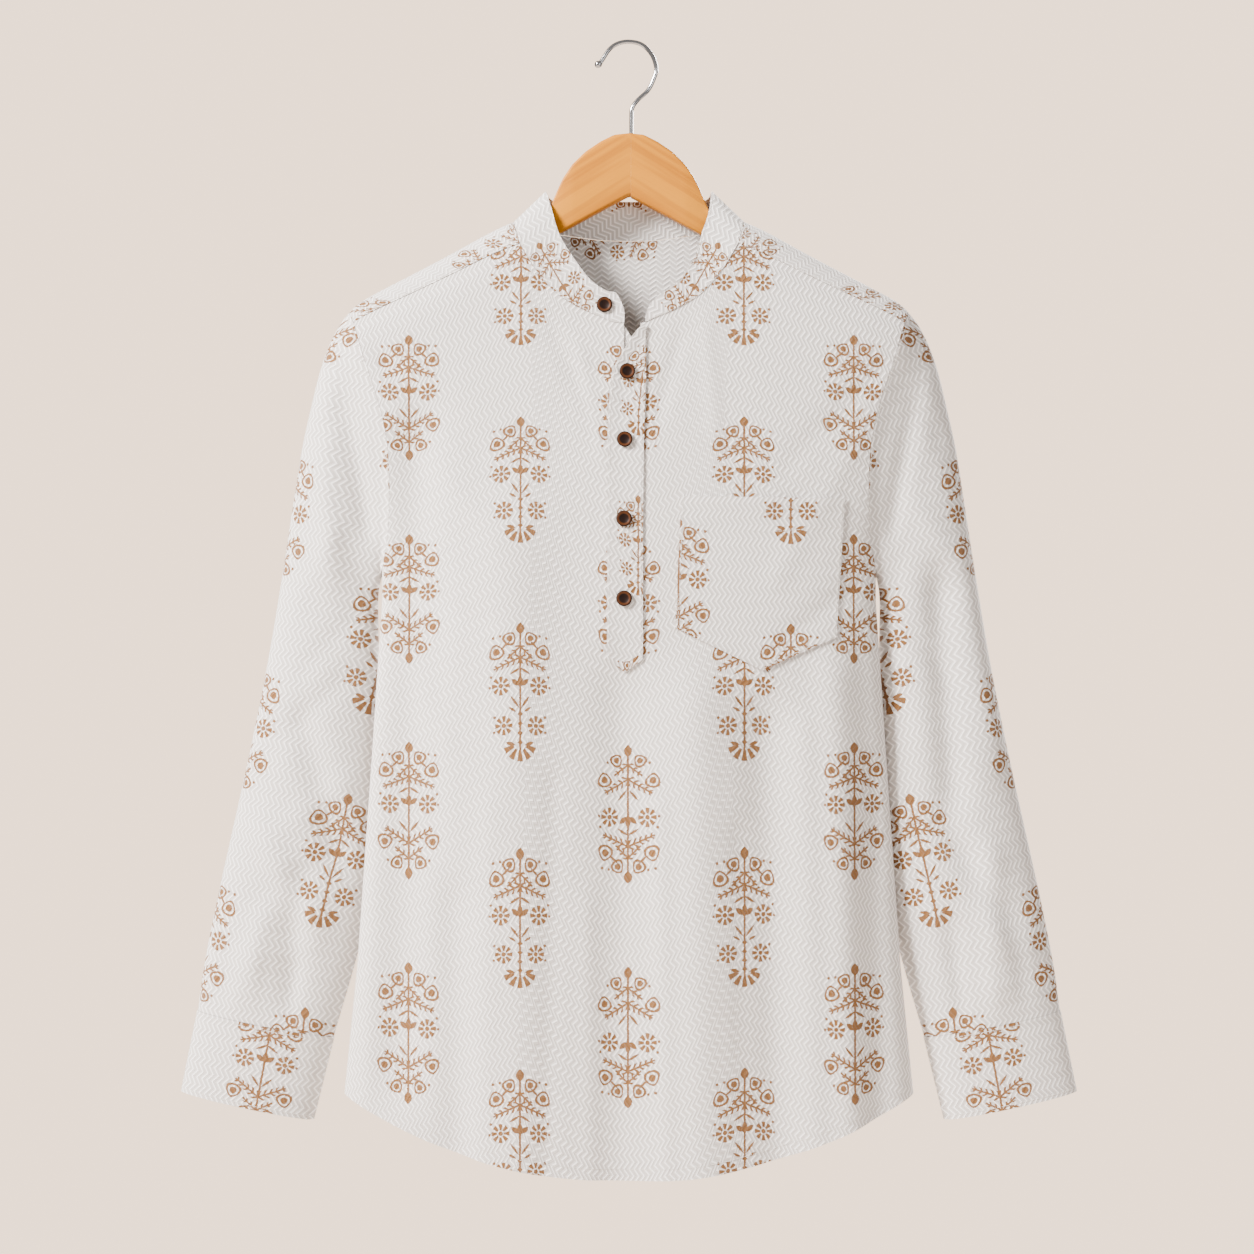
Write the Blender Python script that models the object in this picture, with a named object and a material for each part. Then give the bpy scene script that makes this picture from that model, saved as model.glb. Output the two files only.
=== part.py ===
"""Kurta tunic on a wooden hanger, built as its sewn pieces.

Run with: blender --background --python part.py
The object is in metres with +Z up and its front towards -Y. The origin is where the hook rests on its
peg. Sizes below are in millimetres and become metres as each mesh is made.
"""

import math

import bmesh
import bpy
import numpy as np
from mathutils import Vector
from mathutils.bvhtree import BVHTree
from mathutils.kdtree import KDTree

MM = 0.001
WELD = 0.001
# Where rays towards the front panel start
IN_FRONT_Y = -200.0
# A place near the front panel's outer face
FRONT_SPOT = (0.0, -40.0, -700.0)
# Corners narrower than this are moved straight in
NARROW_CORNER = 0.3
SHARP_DEGREES = 50.0

# Cloth and the clearances between pieces
WALL = 1.2
SEAM_GAP = 0.3
LAY_GAP = 0.6

# Body
NECK_HALF = 88.0
SHOULDER_HALF = 222.0
BACK_SEAM_HALF = 215.0
SHOULDER_ROUND = 6.0
UNDERARM_Z = -427.7
SIDE_HEM_Z = -850.0
HEM_DROP = 65.0
HEM_POWER = 2.1
BACK_SEAM_Z = -252.0
YOKE_DROP_NECK = 21.0
YOKE_DROP_TIP = 13.0
RIDGE_ROUND = 40.0
SECTION_POWER = 2.4

# How many faces each stretch of cloth has
SHOULDER_COLUMNS = 8
FRONT_NECK_COLUMNS = 6
BACK_NECK_COLUMNS = 7
ARMHOLE_ROWS = 7
BODY_ROWS = 21
SLEEVE_ROWS = 16
CUFF_ROWS = 3
COLLAR_ROWS = 3

# How far up and over each row of the yoke lies, closer together on the top line
YOKE_WAYS = (0, 0.2, 0.38, 0.53, 0.65, 0.75, 0.84, 0.92, 1)
YOKE_ROWS = len(YOKE_WAYS) - 1
NECK_ROUND = 20.0
NECK_ROUND_COLUMNS = 4

# Front slit and plackets
SLIT_LEFT = -4.0
SLIT_RIGHT = 9.0
COLLAR_END_RIGHT = 13.0
SLIT_ROWS = 8
# How much wider than the slit the search for its faces is
SLIT_MARGIN = 1.2
PLACKET_ROWS = 20
PLACKET_COLUMNS = 3
PLACKET_CORNER_Z = -496.0
PLACKET_POINT_Z = -509.0
# Rows lie closer together at the curved top
PLACKET_ROW_POWER = 1.3
# How much of the point's height its sides lose
PLACKET_POINT_FALL = 0.8
UNDER_LEFT = -17.0
UNDER_RIGHT = 8.5
UNDER_END_Z = -488.0

# Buttons
BUTTON_RADIUS = 6.35
BUTTON_SIDES = 14

# Hook and hanger
WIRE_RADIUS = 1.75
BALL_RADIUS = 3.0
# Where the rings of the ball lie, in ball radii from its tip
BALL_WAYS = (0.02, 0.25, 0.6, 1.0, 1.4, 1.75)
WIRE_SIDES = 8
WIRE_RINGS = 40
MITRE_X = 1.6
HANGER_TIP_X = 211.0
HANGER_REST = 0.3
# How far the arm sinks under the cloth where it goes in and more at its tip, and its flat edge
HANGER_SINK = 0.2
HANGER_SINK_TIP = 0.6
HANGER_FLAT = 0.2
# The last, smaller ring past the tip: how far out, down, up and how much thinner
HANGER_END_X = 3.0
HANGER_END_TOP = 5.0
HANGER_END_BOTTOM = 4.0
HANGER_END_SHARE = 0.6


def table(columns, *rows):
    """A short table as a dict of columns."""
    return dict(zip(columns.split(), np.array(rows, float).T))


def read(rows, by, want, value):
    """The column `want` where the column `by` has this value."""
    order = np.argsort(rows[by])
    return float(np.interp(value, rows[by][order], rows[want][order]))


# Top line of the shoulders, from the middle out, carried on across the neck
RIDGE = table(
    "x z",
    (0, -122), (40, -127), (70, -135), (93, -145.5), (111, -153.8), (143, -171.3),
    (174, -187.7), (197, -199.5), (216, -210), (226, -218), (240, -234),
)
# Front neck seam, from the middle out
FRONT_NECK = table(
    "x z",
    (0, -229), (13, -228), (20, -225), (38, -217.5), (54, -208), (64, -199), (74, -187), (81, -176),
    (88, -164),
)
# Neck seam over the shoulder, from the front corner to the middle of the back. Turn 0 is the top line.
BACK_NECK = table(
    "x turn",
    (88, -61), (91.5, -32), (93, 0), (90, 20), (86, 33), (75, 49), (54, 65), (27, 78), (0, 84),
)
# Armhole seam, from the shoulder down
ARMHOLE = table(
    "z x",
    (-228, 222), (-240, 218), (-253, 214.5), (-278, 206), (-302, 199), (-327, 194.5), (-352, 193),
    (-376, 193), (-402, 195), (UNDERARM_Z, 199.5),
)
# Body sections: full half width of the curve, and how far it stands out in front and behind
SECTIONS = table(
    "z width front back",
    (-110, 262, 19, 17), (-150, 262, 20, 17.5), (-228, 258, 24, 20), (-278, 237, 27, 22),
    (-327, 219.8, 30, 24), (-376, 207.5, 32, 25), (-402, 201.8, 33, 26), (UNDERARM_Z, 199.5, 34, 26),
    (-451, 199.5, 34.5, 26), (-572, 207.5, 36, 27), (-694, 216, 38, 27), (-746, 219.5, 39, 28),
    (-850, 230, 40, 29), (-925, 237, 41, 30),
)
# How far past its ends a fold fades out, in half widths, and how it dies away at the sides
FOLD_FADE = 3.0
FOLD_SIDE = 1.4
# Soft folds of the body: from one end to the other, half width, and height (below 0 is a trough)
FRONT_FOLDS = table(
    "x0 z0 x1 z1 half height",
    (-5, -540, -7, -960, 24, -5), (-172, -330, -186, -820, 20, -6), (110, -560, 120, -960, 20, -6),
    (-96, -420, -92, -960, 32, 5), (54, -540, 57, -960, 22, 4), (166, -520, 180, -960, 16, 4),
    (-140, -700, -136, -960, 13, -3), (196, -600, 200, -860, 12, -4),
)
BACK_FOLDS = table(
    "x0 z0 x1 z1 half height",
    (0, -330, 4, -960, 26, -5), (-120, -420, -132, -960, 22, -5), (118, -380, 136, -960, 24, -6),
    (-62, -400, -66, -960, 28, 4), (64, -480, 70, -960, 24, 4), (176, -560, 184, -900, 14, -3),
    (-178, -500, -190, -880, 16, -4),
)
# Outer and inner outline of a sleeve, from the armhole to the cuff seam
SLEEVE_OUTER = table(
    "x z",
    (225, -217.5), (234, -227), (242.5, -242), (250.5, -263), (259, -296), (266.5, -330), (275.5, -386),
    (291, -483), (305, -556), (319, -621), (335, -694), (345.5, -748), (350.5, -784.5),
)
SLEEVE_INNER = table(
    "x z",
    (199.5, UNDERARM_Z), (204, -445), (204.5, -480), (204, -560), (207, -640), (213, -700),
    (223.2, -745), (240.8, -806),
)
CUFF_OUTER = (363.5, -850.0)
CUFF_INNER = (257.2, -873.0)
# How a sleeve fills out: way down it, half depth and how far its middle hangs back
SLEEVE_FILL = table(
    "way depth back",
    (0, 12, 0), (0.03, 15, 8), (0.15, 20, 14), (0.35, 24, 18), (0.7, 25, 16), (1, 21, 12),
    (1.2, 19, 10),
)
SLEEVE_JOIN = 0.14
# The stretch above the cuff over which the folds settle, and the least share that is left
SLEEVE_SETTLE = 0.1
FOLD_LEFT = 0.2
# How far the cuff carries on down the table of depths
CUFF_WAY = 0.2
SLEEVE_SPREAD = 1.25
LENS_POWER = 0.9
# Folds of each sleeve, as seen from the front
SLEEVE_FOLDS = {
    -1: table(
        "x0 z0 x1 z1 half height",
        (-231, -262, -209, -385, 10, -8), (-250, -300, -243, -420, 14, 4), (-262, -560, -236, -650, 13, -4),
        (-300, -640, -262, -700, 12, 4), (-268, -690, -276, -775, 12, -4), (-300, -720, -318, -780, 10, 3),
    ),
    1: table(
        "x0 z0 x1 z1 half height",
        (233, -262, 210, -385, 9, -6), (252, -450, 262, -600, 14, -6), (280, -420, 300, -560, 14, 4),
        (262, -640, 300, -700, 12, -4), (292, -670, 300, -770, 13, 5), (262, -720, 272, -790, 9, -3),
    ),
}
BACK_FOLD_SHARE = 0.6
# Top edge of the collar: the two front stretches, from the shoulder down to the ends, and the back
COLLAR_TOP_LEFT = table(
    "x y z",
    (-66.6, 0, -120.4), (-62.4, -8, -135), (-55.9, -15, -156.8), (-43.7, -20, -177), (-31.6, -22, -193),
    (-19.4, -22.5, -202), (-10.5, -22.5, -204),
)
COLLAR_TOP_RIGHT = table(
    "x y z",
    (66.6, 0, -120.4), (64, -7, -139), (58.3, -14, -156), (54.3, -18, -172), (47.8, -21, -183.5),
    (38.9, -22.5, -195.7), (22.5, -23, -207),
)
COLLAR_TOP_BACK = table(
    "x y z",
    (-66.6, 0, -120.4), (-65, 7.5, -123.5), (-58, 11, -129), (-30, 13, -133), (0, 13.5, -133.5),
    (30, 13, -133), (58, 11, -129), (65, 7.5, -123.5), (66.6, 0, -120.4),
)
COLLAR_END_BULGE = 3.0
# Free edge and stitched edge of the over placket
PLACKET_EDGES = table(
    "z left right",
    (-230, 11.6, 13.2), (-234, 6.8, 13.4), (-239.4, 2.4, 13.5), (-248, -2.8, 13.7), (-256.4, -7.7, 13.8),
    (-263, -11.3, 13.8), (-270, -13.8, 13.8), (-281, -15, 13.4), (-300, -17, 12.7), (-323, -17.4, 12),
    (-400, -17.4, 11.2), (-509, -17.8, 11.2),
)
# Top edge of the under placket
UNDER_TOP = table("x z", (-17, -228.5), (-4, -230), (2, -240), (8.5, -246))
# Pocket outline: left and right edge at the top and above the point, and the point
POCKET = {
    "top_left": (41.8, -368.0), "top_right": (173.0, -369.5),
    "low_left": (36.6, -473.5), "low_right": (166.2, -481.0), "point": (106.5, -507.5),
}
POCKET_COLUMNS = 12
POCKET_ROWS = 9
# Buttons, from the collar down
BUTTONS = table("x z", (-19.7, -214), (-1.5, -267.8), (-3.5, -322.5), (-4, -386), (-4, -449.8))
# Turned profile of a button, from the middle of its face to its back
BUTTON_PROFILE = table(
    "radius height",
    (0, 1.5), (3.4, 1.6), (4.3, 2.3), (5.4, 2.6), (6.2, 2.1), (BUTTON_RADIUS, 1.2), (5.7, 0), (0, 0),
)
# Wooden arm from the mitre out to where it goes under the shoulder cloth
ARM = table(
    "x top bottom thick round",
    (0, -73, -123.7, 13, 3), (12, -74.3, -130, 13, 3), (23, -79.8, -136, 13, 3), (35, -87.8, -142.5, 13, 3),
    (46, -98.5, -148.5, 13, 3), (54, -110.5, -152.8, 12, 3), (60, -124, -156, 11, 3),
    (66, -138, -159.5, 10, 3.5), (80, -149, -167, 10, 4), (93, -155, -174, 10, 4.8),
    (118, -159.8, -185, 10, 4.8),
)
ARM_HEIGHT_TIP = 22.0
ARM_THICK_TIP = 8.0
ARM_STEPS = 8
# Middle line of the hook wire, from the ball tip over the crown to the wood
HOOK = table(
    "x z",
    (-27.9, -16.8), (-23.5, -15.6), (-16.2, -4.9), (-9.3, 0.1), (0, 1.75), (10.5, -0.7), (18.6, -9),
    (22.1, -19.8), (20.3, -28), (15.4, -37.7), (7.3, -45.4), (2.7, -52), (2, -60), (2, -72.6),
)

# Material colours, roughness and metallic values
CLOTH = ("printed cotton", (0.72, 0.67, 0.6), 0.9, 0.0)
CLOTH_DARKER = ("printed cotton, inner", (0.66, 0.6, 0.53), 0.9, 0.0)
BUTTON_BROWN = ("button brown", (0.06, 0.025, 0.018), 0.3, 0.0)
WOOD = ("light wood", (0.72, 0.42, 0.2), 0.5, 0.0)
STEEL = ("polished steel", (0.7, 0.7, 0.7), 0.18, 1.0)


def smoothstep(value):
    value = min(max(value, 0.0), 1.0)
    return value * value * (3 - 2 * value)


def through(rows, *columns, steps=8):
    """A smooth line of points through the rows of a table."""
    points = np.stack([rows[column] for column in columns], axis=1)
    padded = np.vstack([2 * points[0] - points[1], points, 2 * points[-1] - points[-2]])
    line = []
    for before, start, end, after in zip(padded, padded[1:], padded[2:], padded[3:]):
        for part in np.arange(steps) / steps:
            line.append(
                start
                + 0.5 * part * (end - before)
                + part**2 * (before - 2.5 * start + 2 * end - 0.5 * after)
                + part**3 * (-0.5 * before + 1.5 * start - 1.5 * end + 0.5 * after)
            )
    return np.array(line + [points[-1]])


def lengths(line):
    """The distance along a line of points to each of them."""
    return np.concatenate([[0], np.cumsum(np.linalg.norm(np.diff(line, axis=0), axis=1))])


def spaced(line, ways):
    """The points that lie these parts of the way along a line."""
    along = lengths(line)
    at = np.asarray(ways) * along[-1]
    return np.stack([np.interp(at, along, column) for column in line.T], axis=-1)


def folds(rows, x, z):
    """How far the folds of a table raise the cloth at x, z."""
    rise = 0.0
    for x0, z0, x1, z1, half, height in zip(*rows.values()):
        span = math.hypot(x1 - x0, z1 - z0)
        way = ((x - x0) * (x1 - x0) + (z - z0) * (z1 - z0)) / span
        aside = ((x - x0) * (z1 - z0) - (z - z0) * (x1 - x0)) / span
        fade = FOLD_FADE * half
        inside = smoothstep((way + fade) / fade) * smoothstep((span + fade - way) / fade)
        rise += height * inside * math.exp(-((aside / half) ** 2))
    return rise


def ridge(x):
    return read(RIDGE, "x", "z", abs(x))


def turn_at(drop):
    """The turn over the shoulder, in radians, that reaches this far below the top line."""
    if drop < RIDGE_ROUND:
        return math.acos(1 - drop / RIDGE_ROUND)
    return math.pi / 2 + (drop - RIDGE_ROUND) / RIDGE_ROUND


def drop_at(turn):
    turn = abs(turn)
    if turn < math.pi / 2:
        return RIDGE_ROUND * (1 - math.cos(turn))
    return RIDGE_ROUND * (1 + turn - math.pi / 2)


def body_point(x, z, side, turn=None):
    """The middle of the cloth at x, z on the front (side -1) or the back (side 1)."""
    width = read(SECTIONS, "z", "width", z)
    depth = read(SECTIONS, "z", "front" if side < 0 else "back", z)
    across = min(abs(x) / width, 1.0)
    section = (1 - across**SECTION_POWER) ** (1 / SECTION_POWER)
    if turn is None:
        turn = turn_at(max(ridge(x) - z, 0.0))
    rise = folds(FRONT_FOLDS if side < 0 else BACK_FOLDS, x, z) * min(1.0, FOLD_SIDE * section)
    return np.array([x, side * (depth * section * math.sin(min(turn, math.pi / 2)) + rise), z])


def over_shoulder(x, turn):
    """The middle of the yoke at x, where turn 0 is the top line and a turn below 0 is in front."""
    z = ridge(x) - drop_at(turn)
    return body_point(x, z, -1 if turn < 0 else 1, abs(turn))


def shoulder_columns():
    """Half widths from the neck to the armhole, closer together towards the armhole."""
    ways = np.sin(np.linspace(0, math.pi / 2, SHOULDER_COLUMNS + 1))
    return NECK_HALF + (SHOULDER_HALF - NECK_HALF) * ways


def front_top(x):
    """Height of the front panel's top edge: its neck seam, then its yoke seam."""
    x = abs(x)
    if x <= NECK_HALF:
        return read(FRONT_NECK, "x", "z", x)
    way = (x - NECK_HALF) / (SHOULDER_HALF - NECK_HALF)
    return ridge(x) - (YOKE_DROP_NECK + (YOKE_DROP_TIP - YOKE_DROP_NECK) * way)


def hem(across):
    return SIDE_HEM_Z - HEM_DROP * (1 - abs(across) ** HEM_POWER)


def edge_heights(top):
    """Heights of the rows along the panel's edge: down the armhole, then down the side seam."""
    arm = np.linspace(top, UNDERARM_Z, ARMHOLE_ROWS + 1)
    side = np.linspace(UNDERARM_Z, SIDE_HEM_Z, BODY_ROWS - ARMHOLE_ROWS + 1)
    return np.concatenate([arm, side[1:]])


def edge_half(z):
    if z > UNDERARM_Z:
        return read(ARMHOLE, "z", "x", z)
    return read(SECTIONS, "z", "width", z)


def panel(columns, half, top_of, side):
    """Rows of points of a body panel, whose top edge has these columns and this half width."""
    edges = edge_heights(top_of(half))
    rows = []
    for edge in edges:
        down = (edge - edges[0]) / (edges[-1] - edges[0])
        wide = half if edge == edges[0] else edge_half(edge)
        row = []
        for x in columns:
            across = x / half
            z = top_of(x) + (hem(across) - top_of(x)) * down
            row.append(body_point(across * wide, z, side))
        rows.append(row)
    return np.array(rows)


def front_columns():
    shoulder = shoulder_columns()
    left = np.linspace(-NECK_HALF, SLIT_LEFT, FRONT_NECK_COLUMNS + 1)
    right = np.linspace(COLLAR_END_RIGHT, NECK_HALF, FRONT_NECK_COLUMNS + 1)
    return np.concatenate([-shoulder[:0:-1], left, [SLIT_RIGHT], right, shoulder[1:]])


def back_columns():
    shoulder = shoulder_columns()
    neck = np.linspace(-NECK_HALF, NECK_HALF, 2 * BACK_NECK_COLUMNS + 1)
    return np.concatenate([-shoulder[:0:-1], neck, shoulder[1:]]) * BACK_SEAM_HALF / SHOULDER_HALF


def neck_turns():
    """(x, turn) of the neck seam over both shoulders and round the back, from left to right."""
    half = through(BACK_NECK, "x", "turn")
    half[:, 1] = np.radians(half[:, 1])
    places = np.array([over_shoulder(x, turn) for x, turn in half])
    along = lengths(places)
    at = np.linspace(0, along[-1], BACK_NECK_COLUMNS + 1)
    side = np.stack([np.interp(at, along, half[:, 0]), np.interp(at, along, half[:, 1])], axis=1)
    side[0, 1] = -turn_at(ridge(NECK_HALF) - front_top(NECK_HALF))
    return np.concatenate([side * (-1, 1), side[-2::-1]])


def yoke_ends():
    """(x, turn) where each column of the yoke ends: the front seam, or the neck seam."""
    shoulder = shoulder_columns()[1:]
    seam = np.array([(x, -turn_at(ridge(x) - front_top(x))) for x in shoulder])
    return np.concatenate([seam[::-1] * (-1, 1), neck_turns(), seam])


def yoke_points():
    """Rows of points of the yoke, from its back seam up and over to its front and neck seams."""
    starts = back_columns()
    middle = len(starts) // 2
    rows = []
    for way in YOKE_WAYS:
        row = []
        for column, (start, (end, last_turn)) in enumerate(zip(starts, yoke_ends())):
            first_turn = turn_at(ridge(start) - BACK_SEAM_Z)
            turn = first_turn + (last_turn - first_turn) * way
            limit = first_turn if turn > 0 else last_turn
            out = smoothstep((abs(end) - NECK_HALF) / (SHOULDER_HALF - NECK_HALF))
            from_corner = abs(abs(column - middle) - BACK_NECK_COLUMNS)
            near = max(1 - from_corner / NECK_ROUND_COLUMNS, 0)
            bulge = SHOULDER_ROUND * out * (1 - (turn / limit) ** 2)
            bulge += NECK_ROUND * near * 4 * way * (1 - way)
            x = start + (end - start) * way
            row.append(over_shoulder(x + math.copysign(bulge, x), turn))
        rows.append(row)
    return np.array(rows)


def armhole_loop(front, back, yoke, side):
    """The armhole's points: down the front, up the back and over the yoke's end."""
    edge = -1 if side > 0 else 0
    down = front[: ARMHOLE_ROWS + 1, edge]
    up = back[ARMHOLE_ROWS - 1 :: -1, edge]
    over = yoke[1:YOKE_ROWS, edge]
    return np.concatenate([down, up, over, down[:1]])


def ways_down(loop):
    """How far down its side of the armhole each point lies, and which side it is on."""
    ring = loop[:-1]
    top = int(np.argmax(ring[:, 2]))
    rolled = np.roll(ring, -top, axis=0)
    under = (ARMHOLE_ROWS - top) % len(ring)
    before = lengths(rolled[: under + 1])
    behind = lengths(np.concatenate([rolled[under:], rolled[:1]]))
    down = np.concatenate([before / before[-1], 1 - behind[1:-1] / behind[-1]])
    face = np.where(np.arange(len(ring)) < under, -1.0, 1.0)
    down, face = np.roll(down, top), np.roll(face, top)
    return np.append(down, down[0]), np.append(face, face[0])


def sleeve_rings(loop, side):
    """Rings of points of a sleeve from its armhole to its cuff seam, then of its cuff."""
    mirror = np.array([side, 1])
    outer = through(SLEEVE_OUTER, "x", "z") * mirror
    inner = through(SLEEVE_INNER, "x", "z") * mirror
    outer[0] = loop[np.argmax(loop[:, 2])][[0, 2]]
    down, face = ways_down(loop)
    round_way = 2 * np.sqrt(down * (1 - down))

    def ring(way, out, in_):
        depth = read(SLEEVE_FILL, "way", "depth", way)
        back = read(SLEEVE_FILL, "way", "back", way)
        flat = out + (in_ - out) * down[:, None]
        y = back + face * depth * round_way**LENS_POWER
        return np.stack([flat[:, 0], y, flat[:, 1]], axis=1)

    miss = loop - ring(0.0, outer[0], inner[0])
    rings = [loop]
    for way in np.linspace(0, 1, SLEEVE_ROWS + 1)[1:] ** SLEEVE_SPREAD:
        free = smoothstep(way / SLEEVE_JOIN)
        points = ring(way, spaced(outer, way), spaced(inner, way)) + miss * (1 - free)
        for point, towards, around in zip(points, face, round_way):
            share = around if towards < 0 else -BACK_FOLD_SHARE * around
            rise = folds(SLEEVE_FOLDS[side], point[0], point[2])
            point[1] -= rise * share * free * smoothstep((1 - way) / SLEEVE_SETTLE + FOLD_LEFT)
        rings.append(points)
    rings = np.array(rings)
    cuff = [rings[-1]]
    for way in np.linspace(0, 1, CUFF_ROWS + 1)[1:]:
        out = outer[-1] + (np.array(CUFF_OUTER) * mirror - outer[-1]) * way
        in_ = inner[-1] + (np.array(CUFF_INNER) * mirror - inner[-1]) * way
        cuff.append(ring(1 + CUFF_WAY * way, out, in_))
    return rings, np.array(cuff)


def collar_points(front, yoke):
    """Rows of points of the collar band, from the neck seam up, from its left end round to its right."""
    left_end = SHOULDER_COLUMNS + FRONT_NECK_COLUMNS
    right_start = left_end + 2
    left = front[0, left_end:SHOULDER_COLUMNS:-1]
    middle = yoke[-1, SHOULDER_COLUMNS : SHOULDER_COLUMNS + 2 * BACK_NECK_COLUMNS + 1]
    right = front[0, right_start + FRONT_NECK_COLUMNS - 1 : right_start - 1 : -1]
    seam = np.concatenate([left, middle, right])
    along = lengths(seam)
    half = len(seam) // 2
    tops = [int(np.argmax(seam[:half, 2])), half + int(np.argmax(seam[half:, 2]))]
    stretches = (
        (0, tops[0], through(COLLAR_TOP_LEFT, "x", "y", "z")[::-1]),
        (tops[0], tops[1], through(COLLAR_TOP_BACK, "x", "y", "z")),
        (tops[1], len(seam) - 1, through(COLLAR_TOP_RIGHT, "x", "y", "z")),
    )
    upper = np.empty_like(seam)
    for first, last, line in stretches:
        ways = (along[first : last + 1] - along[first]) / (along[last] - along[first])
        upper[first : last + 1] = spaced(line, ways)
    rows = []
    for way in np.linspace(0, 1, COLLAR_ROWS + 1):
        row = seam + (upper - seam) * way
        bulge = COLLAR_END_BULGE * math.sin(math.pi * way)
        row[0, 0] += bulge
        row[-1, 0] -= bulge
        rows.append(row)
    return np.array(rows)


def laid_on(sheet, x, z, out):
    """A point on the front panel's own faces at x, z, moved out of them."""
    hit, normal, _, _ = sheet.ray_cast(Vector((x, IN_FRONT_Y, z)), Vector((0, 1, 0)))
    if hit is None:
        return np.array(body_point(x, z, -1)) + (0, -out, 0)
    if normal.y > 0:
        normal = -normal
    return np.array(hit + normal * out)


def placket_over_points(lay):
    """Rows of points of the over placket, down to its point."""
    rows = []
    ways = np.linspace(0, 1, PLACKET_ROWS - 1) ** PLACKET_ROW_POWER
    start = PLACKET_EDGES["z"][0]
    heights = list(start + (PLACKET_CORNER_Z - start) * ways)
    for z in heights + [PLACKET_POINT_Z]:
        left = read(PLACKET_EDGES, "z", "left", z)
        right = read(PLACKET_EDGES, "z", "right", z)
        row = []
        for way in np.linspace(0, 1, 2 * PLACKET_COLUMNS - 1):
            low = z
            if z == PLACKET_POINT_Z:
                fall = 1 - PLACKET_POINT_FALL * abs(2 * way - 1)
                low = PLACKET_CORNER_Z + (z - PLACKET_CORNER_Z) * fall
            row.append(lay(left + (right - left) * way, low, WALL + LAY_GAP))
        rows.append(row)
    return np.array(rows)


def placket_under_points(lay):
    """Rows of points of the under placket, behind the slit."""
    rows = []
    for down in np.linspace(0, 1, PLACKET_ROWS + 1):
        row = []
        for x in np.linspace(UNDER_LEFT, UNDER_RIGHT, PLACKET_COLUMNS + 1):
            top = read(UNDER_TOP, "x", "z", x)
            row.append(lay(x, top + (UNDER_END_Z - top) * down, -WALL - LAY_GAP))
        rows.append(row)
    return np.array(rows)


def pocket_points(lay):
    """Rows of points of the pocket, from its top edge to its pointed bottom."""
    corner = {name: np.array(place) for name, place in POCKET.items()}
    rows = []
    for down in np.linspace(0, 1, POCKET_ROWS + 1):
        row = []
        for across in np.linspace(0, 1, POCKET_COLUMNS + 1):
            top = corner["top_left"] + (corner["top_right"] - corner["top_left"]) * across
            if across < 0.5:
                low = corner["low_left"] + (corner["point"] - corner["low_left"]) * across * 2
            else:
                low = corner["point"] + (corner["low_right"] - corner["point"]) * (across * 2 - 1)
            x, z = top + (low - top) * down
            row.append(lay(x, z, WALL + LAY_GAP))
        rows.append(row)
    return np.array(rows)


def clear_scene():
    for obj in list(bpy.data.objects):
        bpy.data.objects.remove(obj, do_unlink=True)


def material(name, colour, roughness, metallic):
    made = bpy.data.materials.get(name)
    if made is None:
        made = bpy.data.materials.new(name)
        made.use_nodes = True
        shader = made.node_tree.nodes["Principled BSDF"]
        shader.inputs["Base Color"].default_value = (*colour, 1)
        shader.inputs["Roughness"].default_value = roughness
        shader.inputs["Metallic"].default_value = metallic
    return made


def add_object(name, bm, look):
    """Puts a finished mesh in the scene under this name, shaded smooth."""
    mesh = bpy.data.meshes.new(name)
    bm.to_mesh(mesh)
    bm.free()
    mesh.shade_smooth()
    mesh.set_sharp_from_angle(angle=math.radians(SHARP_DEGREES))
    obj = bpy.data.objects.new(name, mesh)
    finish, colour, roughness, metallic = look
    obj.data.materials.append(material(f"{finish} {name}", colour, roughness, metallic))
    bpy.context.scene.collection.objects.link(obj)
    return obj


def grid_mesh(points):
    """A sheet of faces whose corners are rows of points, still in millimetres."""
    rows, columns = points.shape[:2]
    bm = bmesh.new()
    bmesh.ops.create_grid(bm, x_segments=columns - 1, y_segments=rows - 1, size=1)
    bm.verts.ensure_lookup_table()
    for vert, place in zip(bm.verts, points.reshape(-1, 3)):
        vert.co = place
    bmesh.ops.remove_doubles(bm, verts=bm.verts, dist=WELD)
    return bm


def cut_slit(bm, points):
    """Opens the front panel from its neck down, in its slit column."""
    column = SHOULDER_COLUMNS + FRONT_NECK_COLUMNS
    bottom = points[SLIT_ROWS, column, 2]
    left, right = points[0, column : column + 2, 0] * SLIT_MARGIN
    inside = []
    for face in bm.faces:
        middle = face.calc_center_median()
        in_column = all(left < vert.co.x < right for vert in face.verts)
        if in_column and middle.z > bottom:
            inside.append(face)
    bmesh.ops.delete(bm, geom=inside, context="FACES")


def joined_normals(sheets):
    """Looks up the normal of the whole sewn surface at a point of any of its pieces."""
    whole = bmesh.new()
    for sheet in sheets:
        mesh = bpy.data.meshes.new("joined")
        sheet.to_mesh(mesh)
        whole.from_mesh(mesh)
        bpy.data.meshes.remove(mesh)
    bmesh.ops.remove_doubles(whole, verts=whole.verts, dist=WELD)
    bmesh.ops.recalc_face_normals(whole, faces=whole.faces)
    whole.normal_update()
    tree = KDTree(len(whole.verts))
    normals = []
    for index, vert in enumerate(whole.verts):
        tree.insert(vert.co, index)
        normals.append(vert.normal.copy())
    tree.balance()
    whole.free()
    front = tree.find(Vector(FRONT_SPOT))[1]
    flip = -1 if normals[front].y > 0 else 1
    return lambda place: normals[tree.find(place)[1]] * flip


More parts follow.
